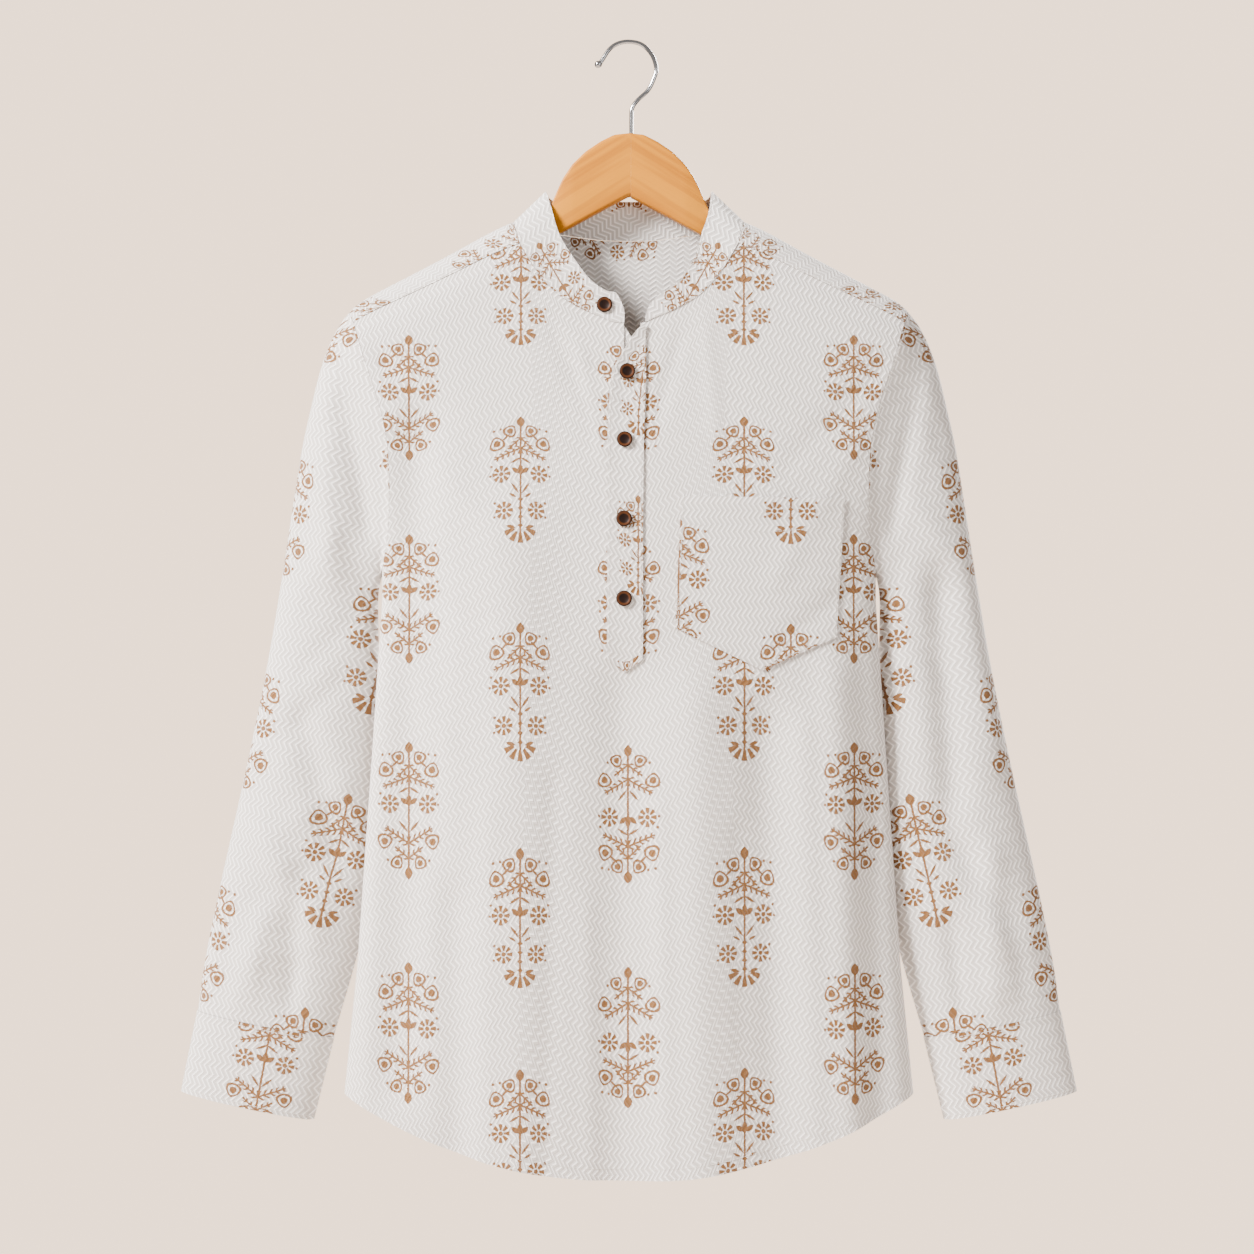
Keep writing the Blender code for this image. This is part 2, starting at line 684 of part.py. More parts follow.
def pull_in_edges(bm, distance):
    """Moves the open edges of a sheet in, within its own surface."""
    moves = {}
    for vert in bm.verts:
        inward = []
        for edge in vert.link_edges:
            if edge.is_boundary:
                face = edge.link_faces[0]
                middle = (edge.verts[0].co + edge.verts[1].co) / 2
                along = (edge.verts[1].co - edge.verts[0].co).normalized()
                towards = face.calc_center_median() - middle
                inward.append((towards - along * towards.dot(along)).normalized())
        if len(inward) == 2:
            spread = 1 + inward[0].dot(inward[1])
            if spread > NARROW_CORNER:
                moves[vert] = (inward[0] + inward[1]) * distance / spread
            else:
                moves[vert] = (inward[0] + inward[1]).normalized() * distance
    for vert, move in moves.items():
        vert.co += move


def cloth_wall(name, bm, look, normal_at=None):
    """Gives a sheet its wall thickness and adds it to the scene."""
    bmesh.ops.recalc_face_normals(bm, faces=bm.faces)
    bm.normal_update()
    kept = bm.verts.layers.float_vector.new("outward")
    for vert in bm.verts:
        vert[kept] = normal_at(vert.co) if normal_at else vert.normal
    pull_in_edges(bm, SEAM_GAP / 2)
    grown = bmesh.ops.extrude_face_region(bm, geom=list(bm.faces), use_keep_orig=True)
    outer = {item for item in grown["geom"] if isinstance(item, bmesh.types.BMVert)}
    for vert in bm.verts:
        vert.co += vert[kept] * (WALL / 2 if vert in outer else -WALL / 2)
    bmesh.ops.recalc_face_normals(bm, faces=bm.faces)
    bmesh.ops.scale(bm, vec=(MM, MM, MM), verts=bm.verts)
    return add_object(name, bm, look)


def swept_mesh(rings):
    """A closed solid through rings of points, capped at both ends, in metres."""
    closed = np.concatenate([rings, rings[:, :1]], axis=1)
    bm = grid_mesh(closed)
    open_edges = [edge for edge in bm.edges if edge.is_boundary]
    bmesh.ops.holes_fill(bm, edges=open_edges, sides=0)
    bmesh.ops.recalc_face_normals(bm, faces=bm.faces)
    bmesh.ops.scale(bm, vec=(MM, MM, MM), verts=bm.verts)
    return bm


def add_hook():
    """The wire hook: a bent wire with a ball at its tip, standing on the wood."""
    line = through(HOOK, "x", "z")
    line[-1, 1] = ARM["top"][0] + HANGER_REST
    along = np.linspace(0, 1, WIRE_RINGS + 1)
    total = lengths(line)[-1]
    ball = np.array(BALL_WAYS) * BALL_RADIUS / total
    ways = np.concatenate([ball, ball[-1] + (1 - ball[-1]) * along[1:]])
    centres = spaced(line, ways)
    tangents = np.gradient(centres, axis=0)
    tangents /= np.linalg.norm(tangents, axis=1)[:, None]
    rings = []
    for way, centre, tangent in zip(ways, centres, tangents):
        from_tip = way * total
        radius = math.sqrt(max(BALL_RADIUS**2 - (from_tip - BALL_RADIUS) ** 2, 0))
        if from_tip > BALL_RADIUS:
            radius = max(radius, WIRE_RADIUS)
        ring = []
        for step in range(WIRE_SIDES):
            turn = 2 * math.pi * step / WIRE_SIDES
            flat = centre + radius * math.cos(turn) * np.array([-tangent[1], tangent[0]])
            ring.append((flat[0], radius * math.sin(turn), flat[1]))
        rings.append(ring)
    add_object("hook", swept_mesh(np.array(rings)), STEEL)


def arm_sizes(x):
    """Top, bottom, thickness and edge radius of a wooden arm at a distance from the middle."""
    last = ARM["x"][-1]
    if x <= last:
        return [read(ARM, "x", column, x) for column in ("top", "bottom", "thick", "round")]
    way = (x - last) / (HANGER_TIP_X - last)
    seat = WALL / 2 + HANGER_REST + HANGER_SINK + HANGER_SINK_TIP * way
    height = ARM["top"][-1] - ARM["bottom"][-1]
    thick = ARM["thick"][-1] + (ARM_THICK_TIP - ARM["thick"][-1]) * way
    top = ridge(x) - seat
    return [top, top - (height + (ARM_HEIGHT_TIP - height) * way), thick, thick / 2 - HANGER_FLAT]


def add_arm(name, side):
    """One wooden arm, from the mitre to its rounded tip under the shoulder."""
    mitre = MITRE_X * side + SEAM_GAP / 2
    under = np.linspace(ARM["x"][-1], HANGER_TIP_X, ARM_STEPS + 1)[1:]
    rings = []
    for x in [mitre, *ARM["x"][1:], *under, HANGER_TIP_X + HANGER_END_X]:
        top, bottom, thick, edge = arm_sizes(min(x, HANGER_TIP_X))
        if x > HANGER_TIP_X:
            top -= HANGER_END_TOP
            bottom += HANGER_END_BOTTOM
            thick *= HANGER_END_SHARE
            edge *= HANGER_END_SHARE
        ring = []
        for corner_y, corner_z, first in ((1, 1, 0), (-1, 1, 90), (-1, -1, 180), (1, -1, 270)):
            for turn in (first, first + 45, first + 90):
                angle = math.radians(turn)
                y = corner_y * (thick / 2 - edge) + edge * math.cos(angle)
                centre_z = top - edge if corner_z > 0 else bottom + edge
                ring.append((x * side, y, centre_z + edge * math.sin(angle)))
        rings.append(ring)
    add_object(name, swept_mesh(np.array(rings)), WOOD)


def add_button(name, place, normal):
    """A turned button lying on the cloth, its face along the normal."""
    bm = bmesh.new()
    verts = [
        bm.verts.new((radius, 0, height))
        for radius, height in zip(BUTTON_PROFILE["radius"], BUTTON_PROFILE["height"])
    ]
    edges = [bm.edges.new(pair) for pair in zip(verts, verts[1:])]
    bmesh.ops.spin(
        bm, geom=verts + edges, cent=(0, 0, 0), axis=(0, 0, 1), angle=2 * math.pi, steps=BUTTON_SIDES,
        use_merge=True,
    )
    bmesh.ops.remove_doubles(bm, verts=bm.verts, dist=WELD)
    turn = Vector((0, 0, 1)).rotation_difference(normal).to_matrix()
    bmesh.ops.rotate(bm, verts=bm.verts, cent=(0, 0, 0), matrix=turn)
    bmesh.ops.translate(bm, verts=bm.verts, vec=place)
    bmesh.ops.recalc_face_normals(bm, faces=bm.faces)
    bmesh.ops.scale(bm, vec=(MM, MM, MM), verts=bm.verts)
    add_object(name, bm, BUTTON_BROWN)


def button_seat(sheet, x, z):
    """Where a button's back lies above the faces of the cloth under it, and the way it looks."""
    hits = []
    for step in range(BUTTON_SIDES):
        turn = 2 * math.pi * step / BUTTON_SIDES
        aside = BUTTON_RADIUS * math.cos(turn)
        start = Vector((x + aside, IN_FRONT_Y, z + BUTTON_RADIUS * math.sin(turn)))
        hit = sheet.ray_cast(start, Vector((0, 1, 0)))[0]
        if hit is not None:
            hits.append(hit)
    centre = sheet.ray_cast(Vector((x, IN_FRONT_Y, z)), Vector((0, 1, 0)))[0]
    spots = np.array(hits + [centre])
    slope = np.linalg.lstsq(
        np.column_stack([spots[:, 0], spots[:, 2], np.ones(len(spots))]), spots[:, 1], rcond=None
    )[0]
    normal = Vector((slope[0], -1, slope[1])).normalized()
    flat = spots @ np.array(normal)
    height = float(flat.max()) + WALL / 2 + SEAM_GAP
    foot = Vector((x, 0, z))
    foot.y = (height - normal.x * x - normal.z * z) / normal.y
    return foot, normal


def main():
    clear_scene()
    front = panel(front_columns(), SHOULDER_HALF, front_top, -1)
    back = panel(back_columns(), BACK_SEAM_HALF, lambda x: BACK_SEAM_Z, 1)
    yoke = yoke_points()
    collar = collar_points(front, yoke)
    sheets = {"front": grid_mesh(front), "back": grid_mesh(back), "yoke": grid_mesh(yoke)}
    sheets["collar"] = grid_mesh(collar)
    for word, side in (("left", 1), ("right", -1)):
        rings, cuff = sleeve_rings(armhole_loop(front, back, yoke, side), side)
        sheets[f"sleeve_{word}"] = grid_mesh(rings)
        sheets[f"cuff_{word}"] = grid_mesh(cuff)
    normal_at = joined_normals(sheets.values())

    whole_front = BVHTree.FromBMesh(sheets["front"])

    def lay(x, z, out):
        return laid_on(whole_front, x, z, out)

    over = grid_mesh(placket_over_points(lay))
    under = grid_mesh(placket_under_points(lay))
    pocket = grid_mesh(pocket_points(lay))
    over_faces = BVHTree.FromBMesh(over)
    collar_faces = BVHTree.FromBMesh(sheets["collar"])
    cut_slit(sheets["front"], front)
    for name, sheet in sheets.items():
        cloth_wall(name, sheet, CLOTH, normal_at)
    cloth_wall("placket_over", over, CLOTH)
    cloth_wall("placket_under", under, CLOTH_DARKER)
    cloth_wall("pocket", pocket, CLOTH)
    for number, (x, z) in enumerate(zip(BUTTONS["x"], BUTTONS["z"]), start=1):
        place, normal = button_seat(collar_faces if number == 1 else over_faces, x, z)
        add_button(f"button_{number}", place, normal)
    add_arm("hanger_left", 1)
    add_arm("hanger_right", -1)
    add_hook()


main()
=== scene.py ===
"""The looks of the kurta tunic on its hanger: fine cloth on the solids' forms, print, weave and stage.

Run with: blender --background --python scene.py
Lengths in the tables below are in millimetres. Each mesh becomes metres as it is made.
"""

import functools
import math

import bmesh
import bpy
import numpy as np
from bpy.props import FloatProperty, FloatVectorProperty, PointerProperty
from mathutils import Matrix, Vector
from mathutils.bvhtree import BVHTree
from mathutils.kdtree import KDTree

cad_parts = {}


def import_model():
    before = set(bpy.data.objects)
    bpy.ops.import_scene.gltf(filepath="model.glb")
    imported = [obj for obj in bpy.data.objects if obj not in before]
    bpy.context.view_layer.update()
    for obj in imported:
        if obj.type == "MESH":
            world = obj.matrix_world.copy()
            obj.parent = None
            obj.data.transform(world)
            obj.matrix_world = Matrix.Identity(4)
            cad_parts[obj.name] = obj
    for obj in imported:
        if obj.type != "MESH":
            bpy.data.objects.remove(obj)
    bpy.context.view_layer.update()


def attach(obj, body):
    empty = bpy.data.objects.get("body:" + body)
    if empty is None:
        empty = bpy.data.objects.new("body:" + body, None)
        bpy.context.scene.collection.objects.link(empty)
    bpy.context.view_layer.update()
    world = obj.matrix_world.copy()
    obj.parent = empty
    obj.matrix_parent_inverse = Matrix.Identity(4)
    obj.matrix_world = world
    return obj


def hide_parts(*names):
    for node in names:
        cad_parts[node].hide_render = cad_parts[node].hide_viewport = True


bl_info = {
    "name": "Kurta tunic on a hanger",
    "version": (1, 0, 0),
    "blender": (4, 5, 0),
    "location": "3D View > Sidebar > Kurta",
    "description": "Builds the printed kurta tunic on its hanger over the packed frame",
    "category": "Object",
}

if __name__ == "__main__":
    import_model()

MM = 0.001
WELD = 0.001
# Where rays towards the front panel start
IN_FRONT_Y = -200.0
# A place near the front panel's outer face
FRONT_SPOT = (0.0, -40.0, -700.0)
# Corners narrower than this are moved straight in
NARROW_CORNER = 0.3
SHARP_DEGREES = 50.0

# Cloth and the clearances between pieces
WALL = 1.2
SEAM_GAP = 0.3

# Body
NECK_HALF = 88.0
SHOULDER_HALF = 222.0
BACK_SEAM_HALF = 215.0
SHOULDER_ROUND = 6.0
UNDERARM_Z = -427.7
SIDE_HEM_Z = -850.0
HEM_DROP = 65.0
HEM_POWER = 2.1
BACK_SEAM_Z = -252.0
YOKE_DROP_NECK = 21.0
YOKE_DROP_TIP = 13.0
RIDGE_ROUND = 40.0
SECTION_POWER = 2.4

# The wearer's sides: left is towards +X
SIDES = (("left", 1), ("right", -1))

# How many faces each stretch of cloth has
SHOULDER_COLUMNS = 32
FRONT_NECK_COLUMNS = 24
BACK_NECK_COLUMNS = 28
ARMHOLE_ROWS = 28
BODY_ROWS = 98
SLEEVE_ROWS = 72
CUFF_ROWS = 12
COLLAR_ROWS = 12

# How far up and over each row of the yoke lies, closer together on the top line
YOKE_KNOTS = (0, 0.2, 0.38, 0.53, 0.65, 0.75, 0.84, 0.92, 1)
YOKE_WAYS = tuple(np.interp(np.linspace(0, 8, 37), range(9), YOKE_KNOTS))
YOKE_ROWS = len(YOKE_WAYS) - 1
NECK_ROUND = 20.0
NECK_ROUND_COLUMNS = 16

# Front slit and plackets
SLIT_LEFT = -4.0
SLIT_RIGHT = 9.0
COLLAR_END_RIGHT = 13.0
SLIT_ROWS = 33
# How much wider than the slit the search for its faces is
SLIT_MARGIN = 1.2
PLACKET_ROWS = 90
PLACKET_COLUMNS = 8
PLACKET_CORNER_Z = -496.0
PLACKET_POINT_Z = -509.0
# Rows lie closer together at the curved top
PLACKET_ROW_POWER = 1.3
# How much of the point's height its sides lose
PLACKET_POINT_FALL = 0.8
UNDER_LEFT = -17.0
UNDER_RIGHT = 8.5
UNDER_END_Z = -488.0

# Buttons
BUTTON_RADIUS = 6.35
BUTTON_SIDES = 48

# Hook and hanger
WIRE_RADIUS = 1.75
BALL_RADIUS = 3.0
# Where the rings of the ball lie, in ball radii from its tip
BALL_WAYS = (0.02, 0.25, 0.6, 1.0, 1.4, 1.75)
WIRE_SIDES = 24
WIRE_RINGS = 200
MITRE_X = 1.6
HANGER_TIP_X = 211.0
HANGER_REST = 0.3
# How far the arm sinks under the cloth where it goes in and more at its tip, and its flat edge
HANGER_SINK = 0.2
HANGER_SINK_TIP = 0.6
HANGER_FLAT = 0.2
# The last, smaller ring past the tip: how far out, down, up and how much thinner
HANGER_END_X = 3.0
HANGER_END_TOP = 5.0
HANGER_END_BOTTOM = 4.0
HANGER_END_SHARE = 0.6


def table(columns, *rows):
    """A short table as a dict of columns."""
    return dict(zip(columns.split(), np.array(rows, float).T))


def fold_table(*rows):
    """Soft folds: from one end to the other, half width, and height (below 0 is a trough)."""
    return table("x0 z0 x1 z1 half height", *rows)


def read(rows, by, want, value):
    """The column `want` where the column `by` has this value."""
    order = np.argsort(rows[by])
    return float(np.interp(value, rows[by][order], rows[want][order]))


# Top line of the shoulders, from the middle out, carried on across the neck
RIDGE = table(
    "x z",
    (0, -122), (40, -127), (70, -135), (93, -145.5), (111, -153.8), (143, -171.3),
    (174, -187.7), (197, -199.5), (216, -210), (226, -218), (240, -234),
)
# Front neck seam, from the middle out
FRONT_NECK = table(
    "x z",
    (0, -229), (13, -228), (20, -225), (38, -217.5), (54, -208), (64, -199), (74, -187), (81, -176),
    (88, -164),
)
# Neck seam over the shoulder, from the front corner to the middle of the back. Turn 0 is the top line.
BACK_NECK = table(
    "x turn",
    (88, -61), (91.5, -32), (93, 0), (90, 20), (86, 33), (75, 49), (54, 65), (27, 78), (0, 84),
)
# Armhole seam, from the shoulder down
ARMHOLE = table(
    "z x",
    (-228, 222), (-240, 218), (-253, 214.5), (-278, 206), (-302, 199), (-327, 194.5), (-352, 193),
    (-376, 193), (-402, 195), (UNDERARM_Z, 199.5),
)
# Body sections: full half width of the curve, and how far it stands out in front and behind
SECTIONS = table(
    "z width front back",
    (-110, 262, 19, 17), (-150, 262, 20, 17.5), (-228, 258, 24, 20), (-278, 237, 27, 22),
    (-327, 219.8, 30, 24), (-376, 207.5, 32, 25), (-402, 201.8, 33, 26), (UNDERARM_Z, 199.5, 34, 26),
    (-451, 199.5, 34.5, 26), (-572, 207.5, 36, 27), (-694, 216, 38, 27), (-746, 219.5, 39, 28),
    (-850, 230, 40, 29), (-925, 237, 41, 30),
)
# How far past its ends a fold fades out, in half widths, and how it dies away at the sides
FOLD_FADE = 3.0
FOLD_SIDE = 1.4
# Soft folds of the body
FRONT_FOLDS = fold_table(
    (-5, -540, -7, -960, 24, -5), (-172, -330, -186, -820, 20, -6), (110, -560, 120, -960, 20, -6),
    (-96, -420, -92, -960, 32, 5), (54, -540, 57, -960, 22, 4), (166, -520, 180, -960, 16, 4),
    (-140, -700, -136, -960, 13, -3), (196, -600, 200, -860, 12, -4),
)
BACK_FOLDS = fold_table(
    (0, -330, 4, -960, 26, -5), (-120, -420, -132, -960, 22, -5), (118, -380, 136, -960, 24, -6),
    (-62, -400, -66, -960, 28, 4), (64, -480, 70, -960, 24, 4), (176, -560, 184, -900, 14, -3),
    (-178, -500, -190, -880, 16, -4),
)
# Outer and inner outline of a sleeve, from the armhole to the cuff seam
SLEEVE_OUTER = table(
    "x z",
    (225, -217.5), (234, -227), (242.5, -242), (250.5, -263), (259, -296), (266.5, -330), (275.5, -386),
    (291, -483), (305, -556), (319, -621), (335, -694), (345.5, -748), (350.5, -784.5),
)
SLEEVE_INNER = table(
    "x z",
    (199.5, UNDERARM_Z), (204, -445), (204.5, -480), (204, -560), (207, -640), (213, -700),
    (223.2, -745), (240.8, -806),
)
CUFF_OUTER = (363.5, -850.0)
CUFF_INNER = (257.2, -873.0)
# How a sleeve fills out: way down it, half depth and how far its middle hangs back
SLEEVE_FILL = table(
    "way depth back",
    (0, 12, 0), (0.03, 15, 8), (0.15, 20, 14), (0.35, 24, 18), (0.7, 25, 16), (1, 21, 12),
    (1.2, 19, 10),
)
SLEEVE_JOIN = 0.14
# The stretch above the cuff over which the folds settle, and the least share that is left
SLEEVE_SETTLE = 0.1
FOLD_LEFT = 0.2
# How far the cuff carries on down the table of depths
CUFF_WAY = 0.2
SLEEVE_SPREAD = 1.25
LENS_POWER = 0.9
# Folds of each sleeve, as seen from the front
SLEEVE_FOLDS = {
    -1: fold_table(
        (-231, -262, -209, -385, 10, -8), (-250, -300, -243, -420, 14, 4), (-262, -560, -236, -650, 13, -4),
        (-300, -640, -262, -700, 12, 4), (-268, -690, -276, -775, 12, -4), (-300, -720, -318, -780, 10, 3),
    ),
    1: fold_table(
        (233, -262, 210, -385, 9, -6), (252, -450, 262, -600, 14, -6), (280, -420, 300, -560, 14, 4),
        (262, -640, 300, -700, 12, -4), (292, -670, 300, -770, 13, 5), (262, -720, 272, -790, 9, -3),
    ),
}
BACK_FOLD_SHARE = 0.6
# Top edge of the collar: the two front stretches, from the shoulder down to the ends, and the back
COLLAR_TOP_LEFT = table(
    "x y z",
    (-66.6, 0, -120.4), (-62.4, -8, -135), (-55.9, -15, -156.8), (-43.7, -20, -177), (-31.6, -22, -193),
    (-19.4, -22.5, -202), (-10.5, -22.5, -204),
)
COLLAR_TOP_RIGHT = table(
    "x y z",
    (66.6, 0, -120.4), (64, -7, -139), (58.3, -14, -156), (54.3, -18, -172), (47.8, -21, -183.5),
    (38.9, -22.5, -195.7), (22.5, -23, -207),
)
COLLAR_TOP_BACK = table(
    "x y z",
    (-66.6, 0, -120.4), (-65, 7.5, -123.5), (-58, 11, -126.5), (-30, 13, -126.5), (0, 13.5, -126),
    (30, 13, -126.5), (58, 11, -126.5), (65, 7.5, -123.5), (66.6, 0, -120.4),
)
COLLAR_END_BULGE = 3.0
# Free edge and stitched edge of the over placket
PLACKET_EDGES = table(
    "z left right",
    (-230, 11.6, 13.2), (-234, 6.8, 13.4), (-239.4, 2.4, 13.5), (-248, -2.8, 13.7), (-256.4, -7.7, 13.8),
    (-263, -11.3, 13.8), (-270, -13.8, 13.8), (-281, -15, 13.4), (-300, -17, 12.7), (-323, -17.4, 12),
    (-400, -17.4, 11.2), (-509, -17.8, 11.2),
)
# Top edge of the under placket
UNDER_TOP = table("x z", (-17, -228.5), (-4, -230), (2, -240), (8.5, -246))
# Pocket outline: left and right edge at the top and above the point, and the point
POCKET = {
    "top_left": (41.8, -368.0), "top_right": (173.0, -369.5),
    "low_left": (36.6, -473.5), "low_right": (166.2, -481.0), "point": (106.5, -507.5),
}
POCKET_COLUMNS = 40
POCKET_ROWS = 36
# Buttons, from the collar down
BUTTONS = table("x z", (-19.7, -214), (-1.5, -267.8), (-3.5, -322.5), (-4, -386), (-4, -449.8))
# Turned profile of a button, from the middle of its face to its back
BUTTON_PROFILE = table(
    "radius height",
    (0, 1.5), (3.4, 1.6), (4.3, 2.3), (5.4, 2.6), (6.2, 2.1), (BUTTON_RADIUS, 1.2), (5.7, 0), (0, 0),
)
# Wooden arm from the mitre out to where it goes under the shoulder cloth
ARM = table(
    "x top bottom thick round",
    (0, -73, -123.7, 13, 3), (12, -74.3, -130, 13, 3), (23, -79.8, -136, 13, 3), (35, -87.8, -142.5, 13, 3),
    (46, -98.5, -148.5, 13, 3), (54, -110.5, -152.8, 12, 3), (60, -124, -156, 11, 3),
    (66, -138, -159.5, 10, 3.5), (80, -149, -167, 10, 4), (93, -155, -174, 10, 4.8),
    (118, -159.8, -185, 10, 4.8),
)
ARM_HEIGHT_TIP = 22.0
ARM_THICK_TIP = 8.0
MITRE_GAP = 0.04
ARM_STEPS = 24
ARM_SHOWN_STEPS = 48
ARM_CORNER_STEPS = 8
# Middle line of the hook wire, from the ball tip over the crown to the wood
HOOK = table(
    "x z",
    (-27.9, -16.8), (-23.5, -15.6), (-16.2, -4.9), (-9.3, 0.1), (0, 1.75), (10.5, -0.7), (18.6, -9),
    (22.1, -19.8), (20.3, -28), (15.4, -37.7), (7.3, -45.4), (2.7, -52), (2, -60), (2, -72.6),
)


def smoothstep(value):
    value = min(max(value, 0.0), 1.0)
    return value * value * (3 - 2 * value)


def through(rows, *columns, steps=8):
    """A smooth line of points through the rows of a table."""
    points = np.stack([rows[column] for column in columns], axis=1)
    padded = np.vstack([2 * points[0] - points[1], points, 2 * points[-1] - points[-2]])
    line = []
    for before, start, end, after in zip(padded, padded[1:], padded[2:], padded[3:]):
        for part in np.arange(steps) / steps:
            line.append(
                start
                + 0.5 * part * (end - before)
                + part**2 * (before - 2.5 * start + 2 * end - 0.5 * after)
                + part**3 * (-0.5 * before + 1.5 * start - 1.5 * end + 0.5 * after)
            )
    return np.array(line + [points[-1]])


def lengths(line):
    """The distance along a line of points to each of them."""
    return np.concatenate([[0], np.cumsum(np.linalg.norm(np.diff(line, axis=0), axis=1))])


def spaced(line, ways):
    """The points that lie these parts of the way along a line."""
    along = lengths(line)
    at = np.asarray(ways) * along[-1]
    return np.stack([np.interp(at, along, column) for column in line.T], axis=-1)


def folds(rows, x, z):
    """How far the folds of a table raise the cloth at x, z."""
    rise = 0.0
    for x0, z0, x1, z1, half, height in zip(*rows.values()):
        span = math.hypot(x1 - x0, z1 - z0)
        way = ((x - x0) * (x1 - x0) + (z - z0) * (z1 - z0)) / span
        aside = ((x - x0) * (z1 - z0) - (z - z0) * (x1 - x0)) / span
        fade = FOLD_FADE * half
        inside = smoothstep((way + fade) / fade) * smoothstep((span + fade - way) / fade)
        rise += height * inside * math.exp(-((aside / half) ** 2))
    return rise


def ridge(x):
    return read(RIDGE, "x", "z", abs(x))


def turn_at(drop):
    """The turn over the shoulder, in radians, that reaches this far below the top line."""
    if drop < RIDGE_ROUND:
        return math.acos(1 - drop / RIDGE_ROUND)
    return math.pi / 2 + (drop - RIDGE_ROUND) / RIDGE_ROUND


def drop_at(turn):
    turn = abs(turn)
    if turn < math.pi / 2:
        return RIDGE_ROUND * (1 - math.cos(turn))
    return RIDGE_ROUND * (1 + turn - math.pi / 2)


def body_point(x, z, side, turn=None):
    """The middle of the cloth at x, z on the front (side -1) or the back (side 1)."""
    width = read(SECTIONS, "z", "width", z)
    depth = read(SECTIONS, "z", "front" if side < 0 else "back", z)
    across = min(abs(x) / width, 1.0)
    section = (1 - across**SECTION_POWER) ** (1 / SECTION_POWER)
    if turn is None:
        turn = turn_at(max(ridge(x) - z, 0.0))
    rise = folds(FRONT_FOLDS if side < 0 else BACK_FOLDS, x, z) * min(1.0, FOLD_SIDE * section)
    return np.array([x, side * (depth * section * math.sin(min(turn, math.pi / 2)) + rise), z])


def over_shoulder(x, turn):
    """The middle of the yoke at x, where turn 0 is the top line and a turn below 0 is in front."""
    z = ridge(x) - drop_at(turn)
    return body_point(x, z, -1 if turn < 0 else 1, abs(turn))


def shoulder_columns():
    """Half widths from the neck to the armhole, closer together towards the armhole."""
    ways = np.sin(np.linspace(0, math.pi / 2, SHOULDER_COLUMNS + 1))
    return NECK_HALF + (SHOULDER_HALF - NECK_HALF) * ways


def front_top(x):
    """Height of the front panel's top edge: its neck seam, then its yoke seam."""
    x = abs(x)
    if x <= NECK_HALF:
        return read(FRONT_NECK, "x", "z", x)
    way = (x - NECK_HALF) / (SHOULDER_HALF - NECK_HALF)
    return ridge(x) - (YOKE_DROP_NECK + (YOKE_DROP_TIP - YOKE_DROP_NECK) * way)


def hem(across):
    return SIDE_HEM_Z - HEM_DROP * (1 - abs(across) ** HEM_POWER)


def edge_heights(top):
    """Heights of the rows along the panel's edge: down the armhole, then down the side seam."""
    arm = np.linspace(top, UNDERARM_Z, ARMHOLE_ROWS + 1)
    side = np.linspace(UNDERARM_Z, SIDE_HEM_Z, BODY_ROWS - ARMHOLE_ROWS + 1)
    return np.concatenate([arm, side[1:]])


def edge_half(z):
    if z > UNDERARM_Z:
        return read(ARMHOLE, "z", "x", z)
    return read(SECTIONS, "z", "width", z)


def panel(columns, half, top_of, side):
    """Rows of points of a body panel, whose top edge has these columns and this half width."""
    edges = edge_heights(top_of(half))
    rows = []
    for edge in edges:
        down = (edge - edges[0]) / (edges[-1] - edges[0])
        wide = half if edge == edges[0] else edge_half(edge)
        row = []
        for x in columns:
            across = x / half
            z = top_of(x) + (hem(across) - top_of(x)) * down
            row.append(body_point(across * wide, z, side))
        rows.append(row)
    return np.array(rows)


def front_columns():
    shoulder = shoulder_columns()
    left = np.linspace(-NECK_HALF, SLIT_LEFT, FRONT_NECK_COLUMNS + 1)
    right = np.linspace(COLLAR_END_RIGHT, NECK_HALF, FRONT_NECK_COLUMNS + 1)
    return np.concatenate([-shoulder[:0:-1], left, [SLIT_RIGHT], right, shoulder[1:]])


def back_columns():
    shoulder = shoulder_columns()
    neck = np.linspace(-NECK_HALF, NECK_HALF, 2 * BACK_NECK_COLUMNS + 1)
    return np.concatenate([-shoulder[:0:-1], neck, shoulder[1:]]) * BACK_SEAM_HALF / SHOULDER_HALF


def neck_turns():
    """(x, turn) of the neck seam over both shoulders and round the back, from left to right."""
    half = through(BACK_NECK, "x", "turn")
    half[:, 1] = np.radians(half[:, 1])
    places = np.array([over_shoulder(x, turn) for x, turn in half])
    along = lengths(places)
    at = np.linspace(0, along[-1], BACK_NECK_COLUMNS + 1)
    side = np.stack([np.interp(at, along, half[:, 0]), np.interp(at, along, half[:, 1])], axis=1)
    side[0, 1] = -turn_at(ridge(NECK_HALF) - front_top(NECK_HALF))
    return np.concatenate([side * (-1, 1), side[-2::-1]])


def yoke_ends():
    """(x, turn) where each column of the yoke ends: the front seam, or the neck seam."""
    shoulder = shoulder_columns()[1:]
    seam = np.array([(x, -turn_at(ridge(x) - front_top(x))) for x in shoulder])
    return np.concatenate([seam[::-1] * (-1, 1), neck_turns(), seam])


